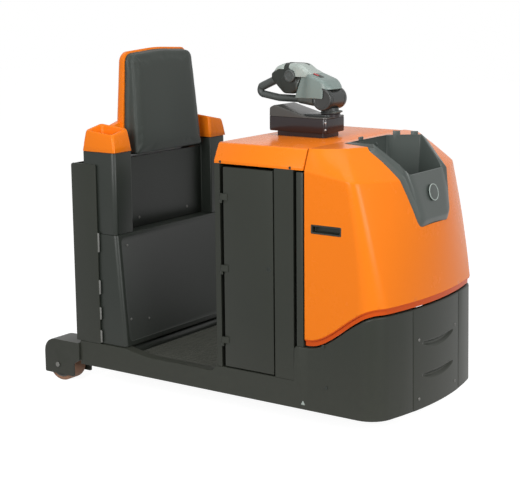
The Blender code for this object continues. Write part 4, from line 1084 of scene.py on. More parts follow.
def shellShape():
    rear = back - padForm["depth"]

    def ring(grow, share):
        out = []
        for y, z in backOutline(grow, padForm["height"] + 0.005 + grow - 0.003):
            low, high = padForm["shell"]
            depth = low + (high - low) * z / padForm["height"]
            out.append(
                (rear - fit - depth * share, y, padForm["bottom"] + z if z > 0.012 else padForm["shellFoot"])
            )
        return out

    rows = (
        (0.0018, 0), (0.003, 0.025), (0.0026, 0.25), (0.001, 0.62), (-0.0035, 0.86), (-0.0075, 0.95),
        (-0.012, 0.99), (-0.018, 1.0), (-0.06, 1.0), (-0.066, 0.97), (-0.12, 0.96),
    )
    return loft([ring(*row) for row in rows])


def wingShape():
    rear = back - padForm["depth"]
    wing = towerForm["panel"] - 0.0025
    line = [
        (wing, padForm["shellFoot"], 0), (wing, towerForm["top"], 0), (wing + 0.002, 1.142, 0.006),
        (padForm["low"] - 0.01, 1.156, 0),
    ]
    outline = rounded([(-y, z, r) for y, z, r in line] + list(reversed(line)), 5)
    return pillow(outline, "X", rear - 0.042, rear - 0.012, 0.002, 3)


def swollen(shape, held, voxel=0.006, pressure=4.0, cap=0.005):
    # The filling presses the cover out for twenty frames, and no point goes further than the cap.
    piece = bpy.data.objects.new("cover", meshOf("cover", shape))
    scene.collection.objects.link(piece)
    grid = piece.modifiers.new("grid", "REMESH")
    grid.mode, grid.voxel_size = "VOXEL", voxel
    applied(piece)
    start = [v.co.copy() for v in piece.data.vertices]
    group = piece.vertex_groups.new(name="held")
    group.add([k for k, p in enumerate(start) if held(p)], 1.0, "REPLACE")
    cloth = piece.modifiers.new("cloth", "CLOTH")
    cloth.settings.use_pressure = True
    cloth.settings.uniform_pressure_force = pressure
    cloth.settings.effector_weights.gravity = 0
    cloth.settings.vertex_group_mass = group.name
    for moment in range(1, 21):
        scene.frame_set(moment)
    applied(piece)
    scene.frame_set(1)
    for point, first in zip(piece.data.vertices, start):
        move = point.co - first
        if move.length > cap:
            point.co = first + move * (cap / move.length)
    piece.modifiers.new("fine", "SUBSURF").levels = 1
    applied(piece)
    out = [tuple(v.co) for v in piece.data.vertices], [tuple(f.vertices) for f in piece.data.polygons]
    bpy.data.objects.remove(piece)
    return out


def addBackrest():
    slack = 0.005
    cover = swollen(
        padShape(slack), lambda p: p.x < back - padForm["depth"] + 0.01, cap=slack,
    )
    pad = made("cushionPad", cover, "cushion_cover", replaced=("backrest_pad",), smooth=60)
    made(
        "backrestShell", joined(shellShape(), wingShape()), "orange_paint", replaced=("backrest_shell",), smooth=40,
    )
    rear = back - padForm["depth"]
    screws = []
    for y in (-0.15, 0.15):
        for z in (1.075, 1.375):
            low, high = padForm["shell"]
            depth = low + (high - low) * (z - padForm["bottom"]) / padForm["height"]
            screws.append(placed(hexBolt(0.013, 0.005, 0.002), (rear - depth * 0.96 + 0.0004, y, z), (-1, 0, 0)))
    fixings("backrestScrews", screws)


addBackrest()

# Tapered caps with a cup in the top, and the back walls under them.

def capRing(inset, level, radius):
    outer, inner = towerForm["side"] + 0.002 - inset * 0.6, towerForm["panel"] - 0.002 + inset * 0.6
    rear, front = towerForm["rear"] - 0.002 + inset, back + 0.001 - inset
    ring = []
    for x, y in panel(rear, front, -outer, -inner, radius, 8):
        rise = (y + outer) * 0.2 + (front - x) * 0.1
        ring.append((x, y, towerForm["top"] + fit + level + rise * max(level, 0) / towerForm["capTall"]))
    return ring


def capShape():
    tall, taper = towerForm["capTall"], towerForm["taper"]
    # Inset, height and corner radius: the foot, the tapered side, the rounded rim and the cup.
    rows = (
        (0.004, 0.0, 0.008), (0.0008, 0.0, 0.008), (0.0, 0.001, 0.008),
        (taper * 0.22, tall * 0.28, 0.01), (taper * 0.4, tall * 0.5, 0.011), (taper * 0.8, tall * 0.86, 0.012),
        (taper * 0.94, tall - 0.0055, 0.012), (taper + 0.001, tall - 0.0022, 0.012),
        (taper + 0.0026, tall - 0.0006, 0.012), (taper + 0.0045, tall, 0.012), (taper + 0.011, tall, 0.01),
        (taper + 0.013, tall - 0.0008, 0.01), (taper + 0.0145, tall - 0.003, 0.01),
        (taper + 0.0165, tall - 0.03, 0.009), (taper + 0.018, tall - 0.045, 0.009),
        (taper + 0.0205, tall - 0.049, 0.009), (taper + 0.024, tall - 0.05, 0.008),
    )
    return loft([capRing(*row) for row in rows])


def backPlan(front):
    half = [(towerForm["rear"], -towerForm["side"], 0.005), (front, -towerForm["side"], 0.02)]
    return rounded([*half, *((x, -y, r) for x, y, r in reversed(half))], 9)


def rakeAt(z):
    # The raked face of the lower wall, without the small rounds at its ends.
    head, foot = 0.69, 0.205
    return back + towerForm["rake"] * (head - z) / (head - foot)


def wallRecess():
    # The shallow panel let into the raked face between the corner posts.
    corners = [(-0.362, 0.226), (0.362, 0.226), (0.362, 0.677), (-0.362, 0.677)]
    rings = []
    for out, draw in ((-0.003, 0.0022), (-0.0024, 0.0008), (-0.001, 0.0), (0.03, 0.0)):
        line = rounded([(y - copysign(draw, y), z + (draw if z < 0.5 else -draw), 0.024) for y, z in corners], 7)
        rings.append([(rakeAt(z) + out, y, z) for y, z in line])
    return loft(rings)


def addBackWalls():
    for side, name in rightLeft:
        form = capShape() if side < 0 else mirrored(capShape())
        made("towerCap_" + name, form, "orange_paint", replaced=("tower_cap_" + name,), smooth=50)

    low, high = towerForm["foot"], towerForm["split"] - 0.003
    rings = []
    for z, draw in ((low, 0.003), (low + 0.003, 0.0), (high - 0.0035, 0.0), (high - 0.001, 0.001), (high, 0.0035)):
        rake = back + towerForm["rake"] * (high - z) / (high - low)
        rings.append([(x, y, z) for x, y in shrunk(backPlan(rake), draw)])
    made(
        "lowerBackWall", loft(rings), "moulded_black", replaced=("lower_back_wall",),
        smooth=40, cuts=(wallRecess(),),
    )

    side, panelY = towerForm["side"], towerForm["panel"]
    half = [
        (towerForm["rear"], -side, 0.005), (back - 0.002, -side, 0.02), (back - 0.002, -panelY, 0.006),
        (back - 0.06, -panelY, 0.006),
    ]
    plan = rounded(half + [(x, -y, r) for x, y, r in reversed(half)], 7)
    low, high = towerForm["split"] - 0.0027, towerForm["top"]
    levels = ((low, 0.0035), (low + 0.001, 0.001), (low + 0.0035, 0.0), (high - 0.003, 0.0), (high, 0.002))
    top = boxed(tail, back + 0.1, -panelY - fit, panelY + fit, 1.0, 1.15)
    made(
        "upperBackWall", layered(plan, levels), "moulded_black", replaced=("upper_back_wall",),
        smooth=40, cuts=(top,), rim=0.0012,
    )

    screws = [
        placed(domedScrew(0.0062, 0.003), (back - 0.06, y, z), (1, 0, 0))
        for y, z in ((-0.168, 0.732), (0.168, 0.732))
    ]
    for y, z in ((-0.322, 0.639), (0.322, 0.639), (-0.338, 0.321), (0.338, 0.321), (-0.222, 0.301)):
        screws.append(placed(domedScrew(0.0055, 0.0028), (rakeAt(z) - 0.003, y, z), (1, 0, 0.078)))
    fixings("wallScrews", screws, material=dullZinc)


addBackWalls()
print("back rest and back walls ready")


# Tail: side posts, rear plate, wheel housings and the coupling.
tailForm = {
    "postX": tail + 0.187, "postLong": 0.138, "postWall": 0.008, "postTop": 0.988, "railTop": 0.205,
    "houseOut": 0.41, "axleX": tail + 0.078, "axleZ": 0.078,
}


def addPosts():
    x0, x1 = tailForm["postX"], tailForm["postX"] + tailForm["postLong"]
    low, high = tailForm["railTop"] + fit, tailForm["postTop"]
    outline = panel(x0, x1, low, high, (0.002, 0.002, 0.006, 0.012), 5)
    plate = pillow(outline, "Y", -halfWidth, -halfWidth + tailForm["postWall"], 0.0018, 3)
    # Four steel tongues show at the front edge, where the wall hooks in.
    tongues = []
    for foot, head in ((0.609, 0.696), (0.424, 0.49), (0.312, 0.37), (0.21, 0.268)):
        line = rounded(
            [
                (x1 - 0.006, foot, 0.002), (x1 + 0.0085, foot + 0.003, 0.002), (x1 + 0.0085, head - 0.003, 0.002),
                (x1 - 0.006, head, 0.002),
            ],
            4,
        )
        tongues.append(pillow(line, "Y", -halfWidth + 0.0016, -halfWidth + 0.0056, 0.0008, 2))
    for side, name in rightLeft:
        made(
            "sidePost_" + name, plate if side < 0 else mirrored(plate), "frame_paint",
            replaced=("side_post_" + name,), smooth=40,
        )
        shape = joined(*tongues)
        made(
            "postTongues_" + name, shape if side < 0 else mirrored(shape),
            "bare_steel", smooth=40, material=dullZinc,
        )

    # The rear plate reaches down between the wheel housings.
    half, rail = halfWidth - tailForm["postWall"] - fit, tailForm["railTop"] + fit
    inner = tailForm["houseOut"] - 0.12 - fit
    right = [(-half, 0.985, 0.004), (-half, rail, 0.001), (-inner, rail, 0.001), (-inner, 0.118, 0.001)]
    outline = right[1:] + [(-y, z, r) for y, z, r in reversed(right)] + right[:1]
    plate = prism(rounded(outline, 3), "X", tailForm["postX"], tailForm["postX"] + tailForm["postWall"])
    swages = []
    for foot, head in ((0.41, 0.56), (0.61, 0.76), (0.81, 0.93)):
        line = panel(-0.3, 0.3, foot, head, 0.025, 8)
        levels = ((0.001, 0.0), (-0.0012, 0.0012), (-0.0026, 0.005), (-0.003, 0.011))
        swages.append(layered(line, [(tailForm["postX"] + out, draw) for out, draw in levels], "X"))
    bolts = [
        placed(hexBolt(0.015, 0.006, 0.002), (tailForm["postX"] + 0.0002, y, z), (-1, 0, 0))
        for y in (-0.36, 0.36) for z in (0.245, 0.48, 0.7, 0.92)
    ]
    made("rearPlate", joined(plate, *swages), "frame_paint", replaced=("rear_plate",), smooth=35, rim=0.0008)
    fixings("rearPlateBolts", bolts)


addPosts()


def addHousings():
    for side, name in rightLeft:
        dressed("wheel_housing_" + name, 0.0016, 3, 30)
        face = side * (tailForm["houseOut"] + 0.004)
        cap = turned(
            [
                (0.011, -0.0003), (0.011, 0.0004), (0.01, 0.0013), (0.008, 0.0016), (0.0075, 0.0008),
                (0.0001, 0.0008),
            ],
            "Z", 0, 0, 32,
        )
        made(
            "axleCap_" + name, placed(cap, (tailForm["axleX"], face, tailForm["axleZ"]), (0, side, 0)),
            "bare_steel", smooth=30, material=dullZinc,
        )


def tyreProfile(core, radius, half, shoulder):
    return [
        (core, 0.0005 - half), (core + 0.001, -half), *((radius - drop, rise - half) for drop, rise in shoulder),
    ]


loadForm = {"radius": 0.078, "core": 0.062, "half": 0.039}


def addLoadWheels():
    for side, name in rightLeft:
        middle, half = side * (halfWidth - 0.05), loadForm["half"]
        core, radius, x, z = loadForm["core"], loadForm["radius"], tailForm["axleX"], tailForm["axleZ"]
        profile = [
            (0.014, -half - 0.004), (0.027, -half - 0.004), (0.03, -half - 0.002), (0.031, 0.004 - half),
            (0.034, 0.006 - half),
            (0.05, 0.006 - half), (0.054, 0.003 - half), (0.056, -half), (core - 0.0005, -half),
            (core - fit, 0.001 - half),
        ]
        hub = turned(bothEnds(profile, middle), "Y", x, z, 48, loop=True)
        body = "load_wheel_" + name
        made("loadHub_" + name, hub, "cast_housing", body, ("load_wheel_hub_" + name,), smooth=30)
        profile = tyreProfile(core, radius, half, ((0.0065, 0.0), (0.003, 0.0012), (0.001, 0.0036), (0.0, 0.008)))
        tyre = turned(bothEnds(profile, middle), "Y", x, z, 60, loop=True)
        made("loadTread_" + name, tyre, "brown_tread", body, ("load_wheel_tread_" + name,), smooth=40)
        bolts = []
        for end, way in ((middle - half + 0.006, -1), (middle + half - 0.006, 1)):
            bolts += [
                placed(hexBolt(0.008, 0.0035, 0.0012), (p, end, q), (0, way, 0))
                for p, q in ringAt(x, z, 0.042, 6, 0.3)
            ]
        fixings("loadBolts_" + name, bolts, body=body)


addHousings()
addLoadWheels()


couplingForm = {"z": 0.265, "mouth": 0.05, "jaw": 0.015, "reach": 0.087, "plate": 0.015, "pinLong": 0.1}


def addCoupling():
    dressed("tow_coupling", 0.0022, 3, 30)
    face, z = tailForm["postX"] - couplingForm["plate"], couplingForm["z"]
    bolts = [
        placed(hexBolt(0.016, 0.007, 0.0022), (face, y, z + dz), (-1, 0, 0))
        for y in (-0.056, 0.056) for dz in (-0.07, 0.07)
    ]
    fixings("couplingBolts", bolts)
    x = tailForm["postX"] - couplingForm["reach"]
    top = z + couplingForm["mouth"] / 2 + couplingForm["jaw"] + fit
    low = top - couplingForm["pinLong"]
    pin = turned(
        [
            (0.0035, low), (0.0065, low + 0.001), (0.0098, low + 0.006), (0.01, low + 0.007), (0.01, top),
            (0.0185, top), (0.019, top + 0.0008), (0.019, top + 0.007), (0.018, top + 0.008),
            (0.0125, top + 0.0088), (0.01, top + 0.012), (0.0096, top + 0.02), (0.01, top + 0.027),
            (0.0085, top + 0.031), (0.004, top + 0.0335),
        ],
        "Z", x, 0, 36,
    )
    made("towPin", pin, "bare_steel", "tow_pin", ("tow_pin",), smooth=40)


addCoupling()
print("tail ready")


# Chassis and the front cover between its two seams.
def jackMark(x, z, size):
    # A small raised triangle beside a jacking point, left bare.
    line = rounded([(x - size / 2, z, 0.0015), (x + size / 2, z, 0.0015), (x, z + size * 0.87, 0.0015)], 3)
    return pillow(line, "Y", -halfWidth - 0.0008, -halfWidth + 0.002, 0.0004, 1)


def addChassis():
    dressed("chassis_frame", 0.0055, 4, 34)
    mark = jackMark(0.496, 0.117, 0.02)
    made("jackMarks", joined(mark, mirrored(mark)), "cowl_grey", smooth=30)
    rings = []
    # Two plugged holes on each side: a plain collar with a sunk face.
    for x, z in ((0.589, 0.366), (0.603, 0.204)):
        collar = turned(
            [
                (0.0075, -0.0004), (0.0075, 0.0004), (0.0066, 0.001), (0.0052, 0.001), (0.0046, 0.0003),
                (0.0001, 0.0003),
            ],
            "Z", 0, 0, 24,
        )
        rings += [placed(collar, (x, side * halfWidth, z), (0, side, 0)) for side in (-1, 1)]
    fixings("chassisPlugs", rings, "moulded_black")


addChassis()

coverForm = {
    "half": 0.186, "wall": 0.0137,
    "grooves": ((0.361, 0.347, -0.128, 0.128, 0.012), (0.232, 0.22, -0.128, 0.128, 0.012)),
}


def coverShape():
    radius, foot, top, draft, edge = station["noseRadius"], station["frameFoot"], station["bumperTop"], 0.006, 0.006
    half, wall = coverForm["half"], coverForm["wall"]
    heights = [foot + (top - edge - foot) * k / 200 for k in range(201)]
    across = 150

    def depthAt(y, z):
        # Two long smile-shaped grooves, deepest under their upper edge and run out at their ends.
        deepest = 0.0
        for ends, middle, yLow, yHigh, deep in coverForm["grooves"]:
            mid, span = (yLow + yHigh) / 2, (yHigh - yLow) / 2
            u = (y - mid) / span
            if abs(u) >= 1:
                continue
            centre = middle + (ends - middle) * u * u
            reach = 0.0165 * (1 - u * u) ** 0.5 + 0.0005
            v = (z - centre) / reach
            if -1 < v < 1:
                shape = smoothStep((v + 1) / 0.95) if v < -0.05 else 1 - smoothStep((v + 0.05) / 1.05)
                deepest = max(deepest, deep * shape * (1 - abs(u) ** 6))
        return deepest

    rows = []
    for i in range(across + 1):
        a = asin(half / radius) * (2 * i / across - 1)
        x, y, nx, ny = nose - radius + radius * cos(a), radius * sin(a), cos(a), sin(a)
        side = min(1.0, (half - abs(y)) / 0.0034)
        fold = 0.0034 * (1 - sqrt(max(0.0, 1 - (1 - side) ** 2))) if side < 1 else 0.0

        def at(inset, z):
            return (x - nx * inset, y - ny * inset, z)

        ring = [at(fold + draft * (z - foot) / (top - edge - foot) + depthAt(y, z), z) for z in heights]
        for k in range(1, 7):
            t = pi / 2 * k / 6
            ring.append(at(fold + draft + edge * (1 - cos(t)), top - edge + edge * sin(t)))
        ring += [at(wall, top), at(wall, foot)]
        rows.append(ring)
    return loft(rows)


def onCover(y, z, proud=0.0):
    radius, foot, top = station["noseRadius"], station["frameFoot"], station["bumperTop"]
    a = asin(y / radius)
    inset = 0.006 * (z - foot) / (top - 0.006 - foot) - proud
    return (nose - radius + radius * cos(a) - inset * cos(a), y - inset * sin(a), z), (cos(a), sin(a), 0.015)


def addCover():
    made("frontCover", coverShape(), "frame_paint", replaced=("front_cover",), smooth=50)
    bolts = []
    for y in (-0.148, 0.148):
        for z in (0.378, 0.141):
            place, normal = onCover(y, z, -0.0002)
            bolts.append(placed(domedScrew(0.0064, 0.003), place, normal))
    fixings("coverScrews", bolts, material=dullZinc)


addCover()
print("chassis and front cover ready")


# Battery bay: frame, case, lid, doors, trim posts.
bayForm = {
    "lidLow": 1.043, "lidTop": 1.122, "slope": 0.034, "doorX": bay + 0.043, "doorLong": 0.239, "doorLow": 0.216,
    "doorTop": 1.03, "doorDeep": 0.02, "hinges": (0.325, 0.621, 0.911), "hingeX": bay + 0.035,
    "hingeOut": 0.003, "pinRadius": 0.0045,
}


def addLid():
    low, top, slope = bayForm["lidLow"], bayForm["lidTop"], bayForm["slope"]
    x0, x1 = bay - 0.001, seam + 0.003
    half = [(-halfWidth, low, 0), (-halfWidth, low + 0.01, 0.008), (-halfWidth + slope, top, 0.013)]
    line = rounded(bothWays(half), 8)
    outer = [
        (x0, 0.0028), (x0 + 0.0008, 0.001), (x0 + 0.0028, 0.0), (x1 - 0.0028, 0.0), (x1 - 0.0008, 0.001),
        (x1, 0.0028),
    ]
    solid = loft(
        [
            [(x, y * (1 - draw / halfWidth), z - draw * (z - low) / (top - low)) for y, z in line]
            for x, draw in outer
        ]
    )
    hollow = prism(
        [
            (-halfWidth + 0.004, low - 0.01), (halfWidth - 0.004, low - 0.01), (halfWidth - 0.004, low + 0.008),
            (halfWidth - slope - 0.004, top - 0.004), (-halfWidth + slope + 0.004, top - 0.004),
            (-halfWidth + 0.004, low + 0.008),
        ],
        "X", x0 + 0.004, x1 - 0.004,
    )
    made("batteryLid", solid, "orange_paint", replaced=("battery_lid",), smooth=40, cuts=(hollow,))
    # Holding screws along the foot of each side.
    screws = []
    for x in (bay + 0.03, seam - 0.055):
        screws += [
            placed(domedScrew(0.0056, 0.0026), (x, side * (halfWidth - 0.0002), low + 0.0065), (0, side, 0))
            for side in (-1, 1)
        ]
    fixings("lidScrews", screws, "moulded_black")


def doorShape():
    # A folded pan on the right side, its rim rolled and its face gently pressed out.
    x0, low, high = bayForm["doorX"], bayForm["doorLow"], bayForm["doorTop"]
    x1 = x0 + bayForm["doorLong"]
    line = panel(x0, x1, low, high, 0.003, 4)
    deep = bayForm["doorDeep"]
    levels = (
        (0.003, 0.003), (deep, 0.003), (deep, 0.0004), (deep - 0.0006, 0.0), (0.0022, 0.0), (0.0006, 0.0006),
        (0.0, 0.0022),
    )
    return layered(line, [(-halfWidth + y, draw) for y, draw in levels], "Y")


def hingeShape(height, low, high):
    x, y = bayForm["hingeX"], -halfWidth - bayForm["hingeOut"]
    r = bayForm["pinRadius"]
    return turned(
        [
            (r - 0.0008, height + low), (r, height + low + 0.0008), (r, height + high - 0.0008),
            (r - 0.0008, height + high),
        ],
        "Z", x, y, 24,
    )


def addDoors():
    door, x, y = bayForm["doorX"], bayForm["hingeX"], -halfWidth - bayForm["hingeOut"]
    for side, name in rightLeft:
        form = [doorShape()]
        for height in bayForm["hinges"]:
            form.append(hingeShape(height, -0.013, 0.013))
            leaf = [
                (x, y + 0.0005, 0), (x, y - 0.0042, 0), (door + 0.02, -halfWidth - 0.002, 0.001),
                (door + 0.02, -halfWidth + 0.001, 0), (door + 0.001, -halfWidth + 0.002, 0),
            ]
            form.append(prism(rounded(leaf, 3), "Z", height - 0.0128, height + 0.0128))
            form += [
                placed(domedScrew(0.003, 0.0014), (door + 0.0125, -halfWidth - 0.0018, height + dz), (0.05, -1, 0))
                for dz in (-0.007, 0.007)
            ]
        shape = joined(*form)
        made(
            "batteryDoor_" + name, shape if side < 0 else mirrored(shape), "frame_paint",
            "door_" + name, ("battery_door_" + name,), smooth=32,
        )
        # Slot-headed lock near the free edge.
        profile = [
            (0.0105, 0.0), (0.0105, 0.001), (0.0096, 0.002), (0.007, 0.0022), (0.0064, 0.001), (0.0001, 0.001),
        ]
        slot = [(-0.0046, -0.0012), (0.0046, -0.0012), (0.0046, 0.0012), (-0.0046, 0.0012)]
        lock = joined(turned(profile, "Z", 0, 0, 32), pillow(slot, "Z", 0.0008, 0.0019, 0.0003, 1))
        place = (door + bayForm["doorLong"] - 0.022, side * (halfWidth - 0.0004), 0.64)
        made("doorLock_" + name, placed(lock, place, (0, side, 0)), "moulded_black", "door_" + name, smooth=30)


def addBattery():
    dressed("battery_frame", 0.001, 2, 34)
    x0, x1, half = bay + 0.001 + 0.006 + 0.012, seam - 0.041 - 0.014 - 0.012, halfWidth - 0.055
    low, top = station["platformTop"] + fit, 0.88
    case = panel(x0, x1, -half, half, 0.012, 6)
    levels = [
        (low, 0.003), (low + 0.003, 0.0), (top - 0.06, 0.0), (top - 0.056, 0.003), (top - 0.05, 0.003),
        (top - 0.046, 0.0), (top - 0.022, 0.0), (top - 0.018, 0.0025), (top - 0.018, 0.006),
    ]
    forms = [layered(case, levels)]
    # Cells in rows of two by six, each with a cap, two posts and a bar to the next.
    caps, bars = [], []
    cap = turned(
        [(0.016, 0), (0.016, 0.003), (0.0145, 0.0048), (0.008, 0.0048), (0.007, 0.0062), (0.0001, 0.0062)],
        "Z", 0, 0, 28,
    )
    post = turned([(0.007, 0), (0.007, 0.004), (0.0062, 0.0052), (0.0001, 0.0052)], "Z", 0, 0, 20)
    wide, deep = (2 * half - 0.024) / 6, (x1 - x0 - 0.02) / 2
    for i in range(6):
        for j in range(2):
            cx, cy = x0 + 0.01 + deep * (j + 0.5), -half + 0.012 + wide * (i + 0.5)
            cell = panel(
                cx - deep / 2 + 0.002, cx + deep / 2 - 0.002, cy - wide / 2 + 0.002, cy + wide / 2 - 0.002,
                0.006, 4,
            )
            forms.append(pillow(cell, "Z", top - 0.024, top - 0.007, 0.002, 2))
            caps.append(moved(cap, cx, cy, top - 0.0075))
            for dy in (-0.034, 0.034):
                bars.append(moved(post, cx + deep * 0.3, cy + dy, top - 0.0075))
    for i in range(5):
        for j in range(2):
            cx, cy = x0 + 0.01 + deep * (j + 0.5) + deep * 0.3, -half + 0.012 + wide * (i + 1)
            span = wide / 2 - 0.034 + 0.006
            bar = panel(cx - 0.006, cx + 0.006, cy - span, cy + span, 0.003, 3)
            bars.append(pillow(bar, "Z", top - 0.0052, top - 0.0024, 0.0006, 1))
    made("batteryCase", joined(*forms), "cast_housing", replaced=("battery_block",), smooth=35)
    fixings("cellCaps", caps, "tray_grey")
    fixings("cellBars", bars)


def addTrim():
    x0, x1 = seam - 0.029, seam + 0.003
    for side, name in rightLeft:
        line = panel(x0, x1, -halfWidth, -halfWidth + 0.025, (0.0065, 0.0065, 0.001, 0.001), 8)
        form = layered(line, ((0.3503, 0.0015), (0.3515, 0.0), (1.0335, 0.0), (1.0353, 0.0008), (1.036, 0.0026)))
        made(
            "trimPost_" + name, form if side < 0 else mirrored(form), "frame_paint",
            replaced=("trim_post_" + name,), smooth=45,
        )


addLid()
addDoors()
addBattery()
addTrim()
print("battery bay ready")


# Platform: ribbed mat and the soft roll at its rear edge.
def addPlatform():
    dressed("platform_deck", 0.0012, 2, 34)
    x0, x1, half = back + 0.0353, bay - fit, 0.3467
    low, top = station["platformTop"] + fit, 0.17
    forms = [pillow(panel(x0, x1, -half, half, 0.004, 4), "Z", low, top - 0.0022, 0.001, 2)]
    count = 34
    step = (2 * half - 0.024) / count
    for k in range(count):
        y = -half + 0.012 + step * (k + 0.5)
        rib = panel(x0 + 0.014, x1 - 0.014, y - step * 0.3, y + step * 0.3, step * 0.28, 4)
        forms.append(pillow(rib, "Z", top - 0.0035, top, 0.0009, 2))
    made("ribbedMat", joined(*forms), "platform_rubber", replaced=("platform_mat",), smooth=40)
    reach, x, tall = 0.03, back + 0.035, station["platformTop"] + 0.043
    line = panel(x - 0.08, x, low, tall, (0.001, 0.001, reach, 0.001), 12)
    made(
        "skirtingRoll", pillow(line, "Y", -half, half, 0.002, 3), "platform_rubber", replaced=("skirting_roll",),
        smooth=45, material=finishes["moulded_black"],
    )


addPlatform()


# Drive bay: deck, motors, gear leg and the driven wheel.
driveForm = {"x": nose - 0.223, "deckTop": 0.345, "deckThick": 0.015, "radius": 0.115, "width": 0.075}


def addDrive():
    dressed("drive_deck", 0.0012, 2, 34)
    x, top = driveForm["x"], driveForm["deckTop"]
    profile = [
        (0.104, top + fit), (0.105, top + 0.0012), (0.105, top + 0.0125), (0.1035, top + 0.014),
        (0.09, top + 0.015), (0.086, top + 0.019), (0.084, top + 0.026),
    ]
    # Cooling fins round the body of the motor.
    z = top + 0.04
    while z < top + 0.185:
        profile += [
            (0.0785, z), (0.0785, z + 0.005), (0.0842, z + 0.0056), (0.085, z + 0.007), (0.0842, z + 0.0084),
        ]
        z += 0.0135
    profile += [
        (0.08, top + 0.192), (0.085, top + 0.194), (0.085, top + 0.232), (0.0835, top + 0.236),
        (0.074, top + 0.249), (0.072, top + 0.25), (0.03, top + 0.25),
    ]
    made("driveMotor", turned(profile, "Z", x, 0, 56), "cast_housing", replaced=("drive_motor",), smooth=30)
    bolts = [moved(hexBolt(0.011, 0.006, 0.0015), p, q, top + 0.0138) for p, q in ringAt(x, 0, 0.0965, 8, 0.2)]
    bolts += [moved(hexBolt(0.008, 0.004, 0.001), p, q, top + 0.2498) for p, q in ringAt(x, 0, 0.055, 6)]
    terminal = turned(
        [(0.009, 0), (0.009, 0.01), (0.0078, 0.012), (0.004, 0.012), (0.004, 0.02), (0.0034, 0.021)], "Z", 0, 0, 20,
    )
    terminals = [moved(terminal, x + 0.026 * cos(a), 0.026 * sin(a), top + 0.2495) for a in (0.5, 2.6, 4.7)]
    made("motorBolts", joined(*bolts, *terminals), "bare_steel", smooth=30)

    sx, sy = x - 0.11, 0.135
    profile = [
        (0.0345, top + fit), (0.035, top + 0.001), (0.035, top + 0.01), (0.031, top + 0.012), (0.031, top + 0.07),
        (0.0345, top + 0.072), (0.035, top + 0.074), (0.035, top + 0.117), (0.0338, top + 0.121),
        (0.0285, top + 0.128), (0.006, top + 0.128),
    ]
    made("steerMotor", turned(profile, "Z", sx, sy, 36), "cast_housing", replaced=("steer_motor",), smooth=30)

    low = top - driveForm["deckThick"]
    profile = [
        (0.104, low - fit), (0.105, low - 0.0012), (0.105, low - 0.0148), (0.1035, low - 0.016),
        (0.092, low - 0.018), (0.087, low - 0.022), (0.085, low - 0.03), (0.085, 0.245), (0.0835, 0.2425),
        (0.08, 0.242),
    ]
    flange = turned(profile, "Z", x, 0, 56)
    outline = rounded(
        [(x - 0.055, 0.2445, 0), (x - 0.045, 0.07, 0.04), (x + 0.045, 0.07, 0.04), (x + 0.055, 0.2445, 0)], 12,
    )
    leg = pillow(outline, "Y", 0.0475, 0.0835, 0.006, 3)
    stub = turned([(0.0215, 0.0358), (0.022, 0.0362), (0.022, 0.056)], "Y", x, driveForm["radius"], 36)
    profile = [(0.04, -0.002), (0.04, 0.0), (0.0385, 0.0018), (0.034, 0.0024), (0.0325, 0.0012), (0.0001, 0.0012)]
    cover = placed(turned(profile, "Z", 0, 0, 40), (x, 0.0835, driveForm["radius"]), (0, 1, 0))
    made(
        "driveGearbox", joined(flange, leg, stub, cover), "cast_housing", "drive_unit", ("drive_gearbox",),
        smooth=35,
    )
    bolts = [
        placed(hexBolt(0.008, 0.004, 0.0012), (p, 0.0835, q), (0, 1, 0))
        for p, q in ringAt(x, driveForm["radius"], 0.0365, 6)
    ]
    fixings("gearboxBolts", bolts, body="drive_unit")

    half, z = driveForm["width"] / 2, driveForm["radius"]
    core = z - 0.02
    profile = [
        (0.02, 0.002 - half), (0.039, 0.002 - half), (0.04, 0.0035 - half), (0.041, 0.012 - half),
        (0.046, 0.014 - half), (core - 0.018, 0.014 - half), (core - 0.012, 0.01 - half),
        (core - 0.009, 0.001 - half), (core - fit, -half),
    ]
    hub = turned(bothEnds(profile), "Y", x, z, 56)
    made("driveHub", hub, "cast_housing", "drive_wheel", ("drive_wheel_hub",), smooth=30)
    profile = tyreProfile(core, z, half, ((0.0085, 0.0), (0.004, 0.0014), (0.0012, 0.0042), (0.0, 0.009)))
    tyre = turned(bothEnds(profile), "Y", x, z, 72, loop=True)
    made("driveTread", tyre, "brown_tread", "drive_wheel", ("drive_wheel_tread",), smooth=40)
    bolts = [
        placed(hexBolt(0.012, 0.006, 0.0018), (p, 0.0142 - half, q), (0, -1, 0))
        for p, q in ringAt(x, z, 0.058, 5)
    ]
    fixings("driveWheelBolts", bolts, body="drive_wheel")
    dressed("hood_hinge_frame", 0.0012, 2, 30)


addDrive()
print("platform and drive bay ready")


# Console and steering handle. Forms here are drawn through upright sections along X.
def sectioned(stations, steps=7):
    # Each station: x, half width, foot, head, radius at the head, radius at the foot, lean, draw-in at the head.
    rings = []
    for x, half, low, high, soft, edge, lean, draw in stations:
        soft, edge = min(soft, half - 0.001, high - low - edge - 0.0002), min(edge, half - 0.001)
        outline = rounded(
            [(-half, low, edge), (half, low, edge), (half - draw, high, soft), (draw - half, high, soft)], steps,
        )
        rings.append([(x + lean * (z - low), y, z) for y, z in outline])
    return loft(rings)


def heightAt(line, x):
    for (xa, za), (xb, zb) in zip(line, line[1:]):
        if xa <= x <= xb:
            return za + (zb - za) * (x - xa) / max(1e-9, xb - xa)
    return line[0][1] if x < line[0][0] else line[-1][1]


consoleForm = {"rear": seam - 0.042 - 0.278 - 0.06, "long": 0.278, "half": 0.074, "foot": 1.142, "split": 1.2008}


def consoleTop():
    rear, long = consoleForm["rear"], consoleForm["long"]
    return rounded(
        [
            (rear, 1.226, 0), (rear + 0.002, 1.236, 0.008), (rear + 0.026, 1.248, 0.02),
            (rear + 0.178, 1.208, 0.04), (rear + long, 1.208, 0),
        ],
        8,
    )


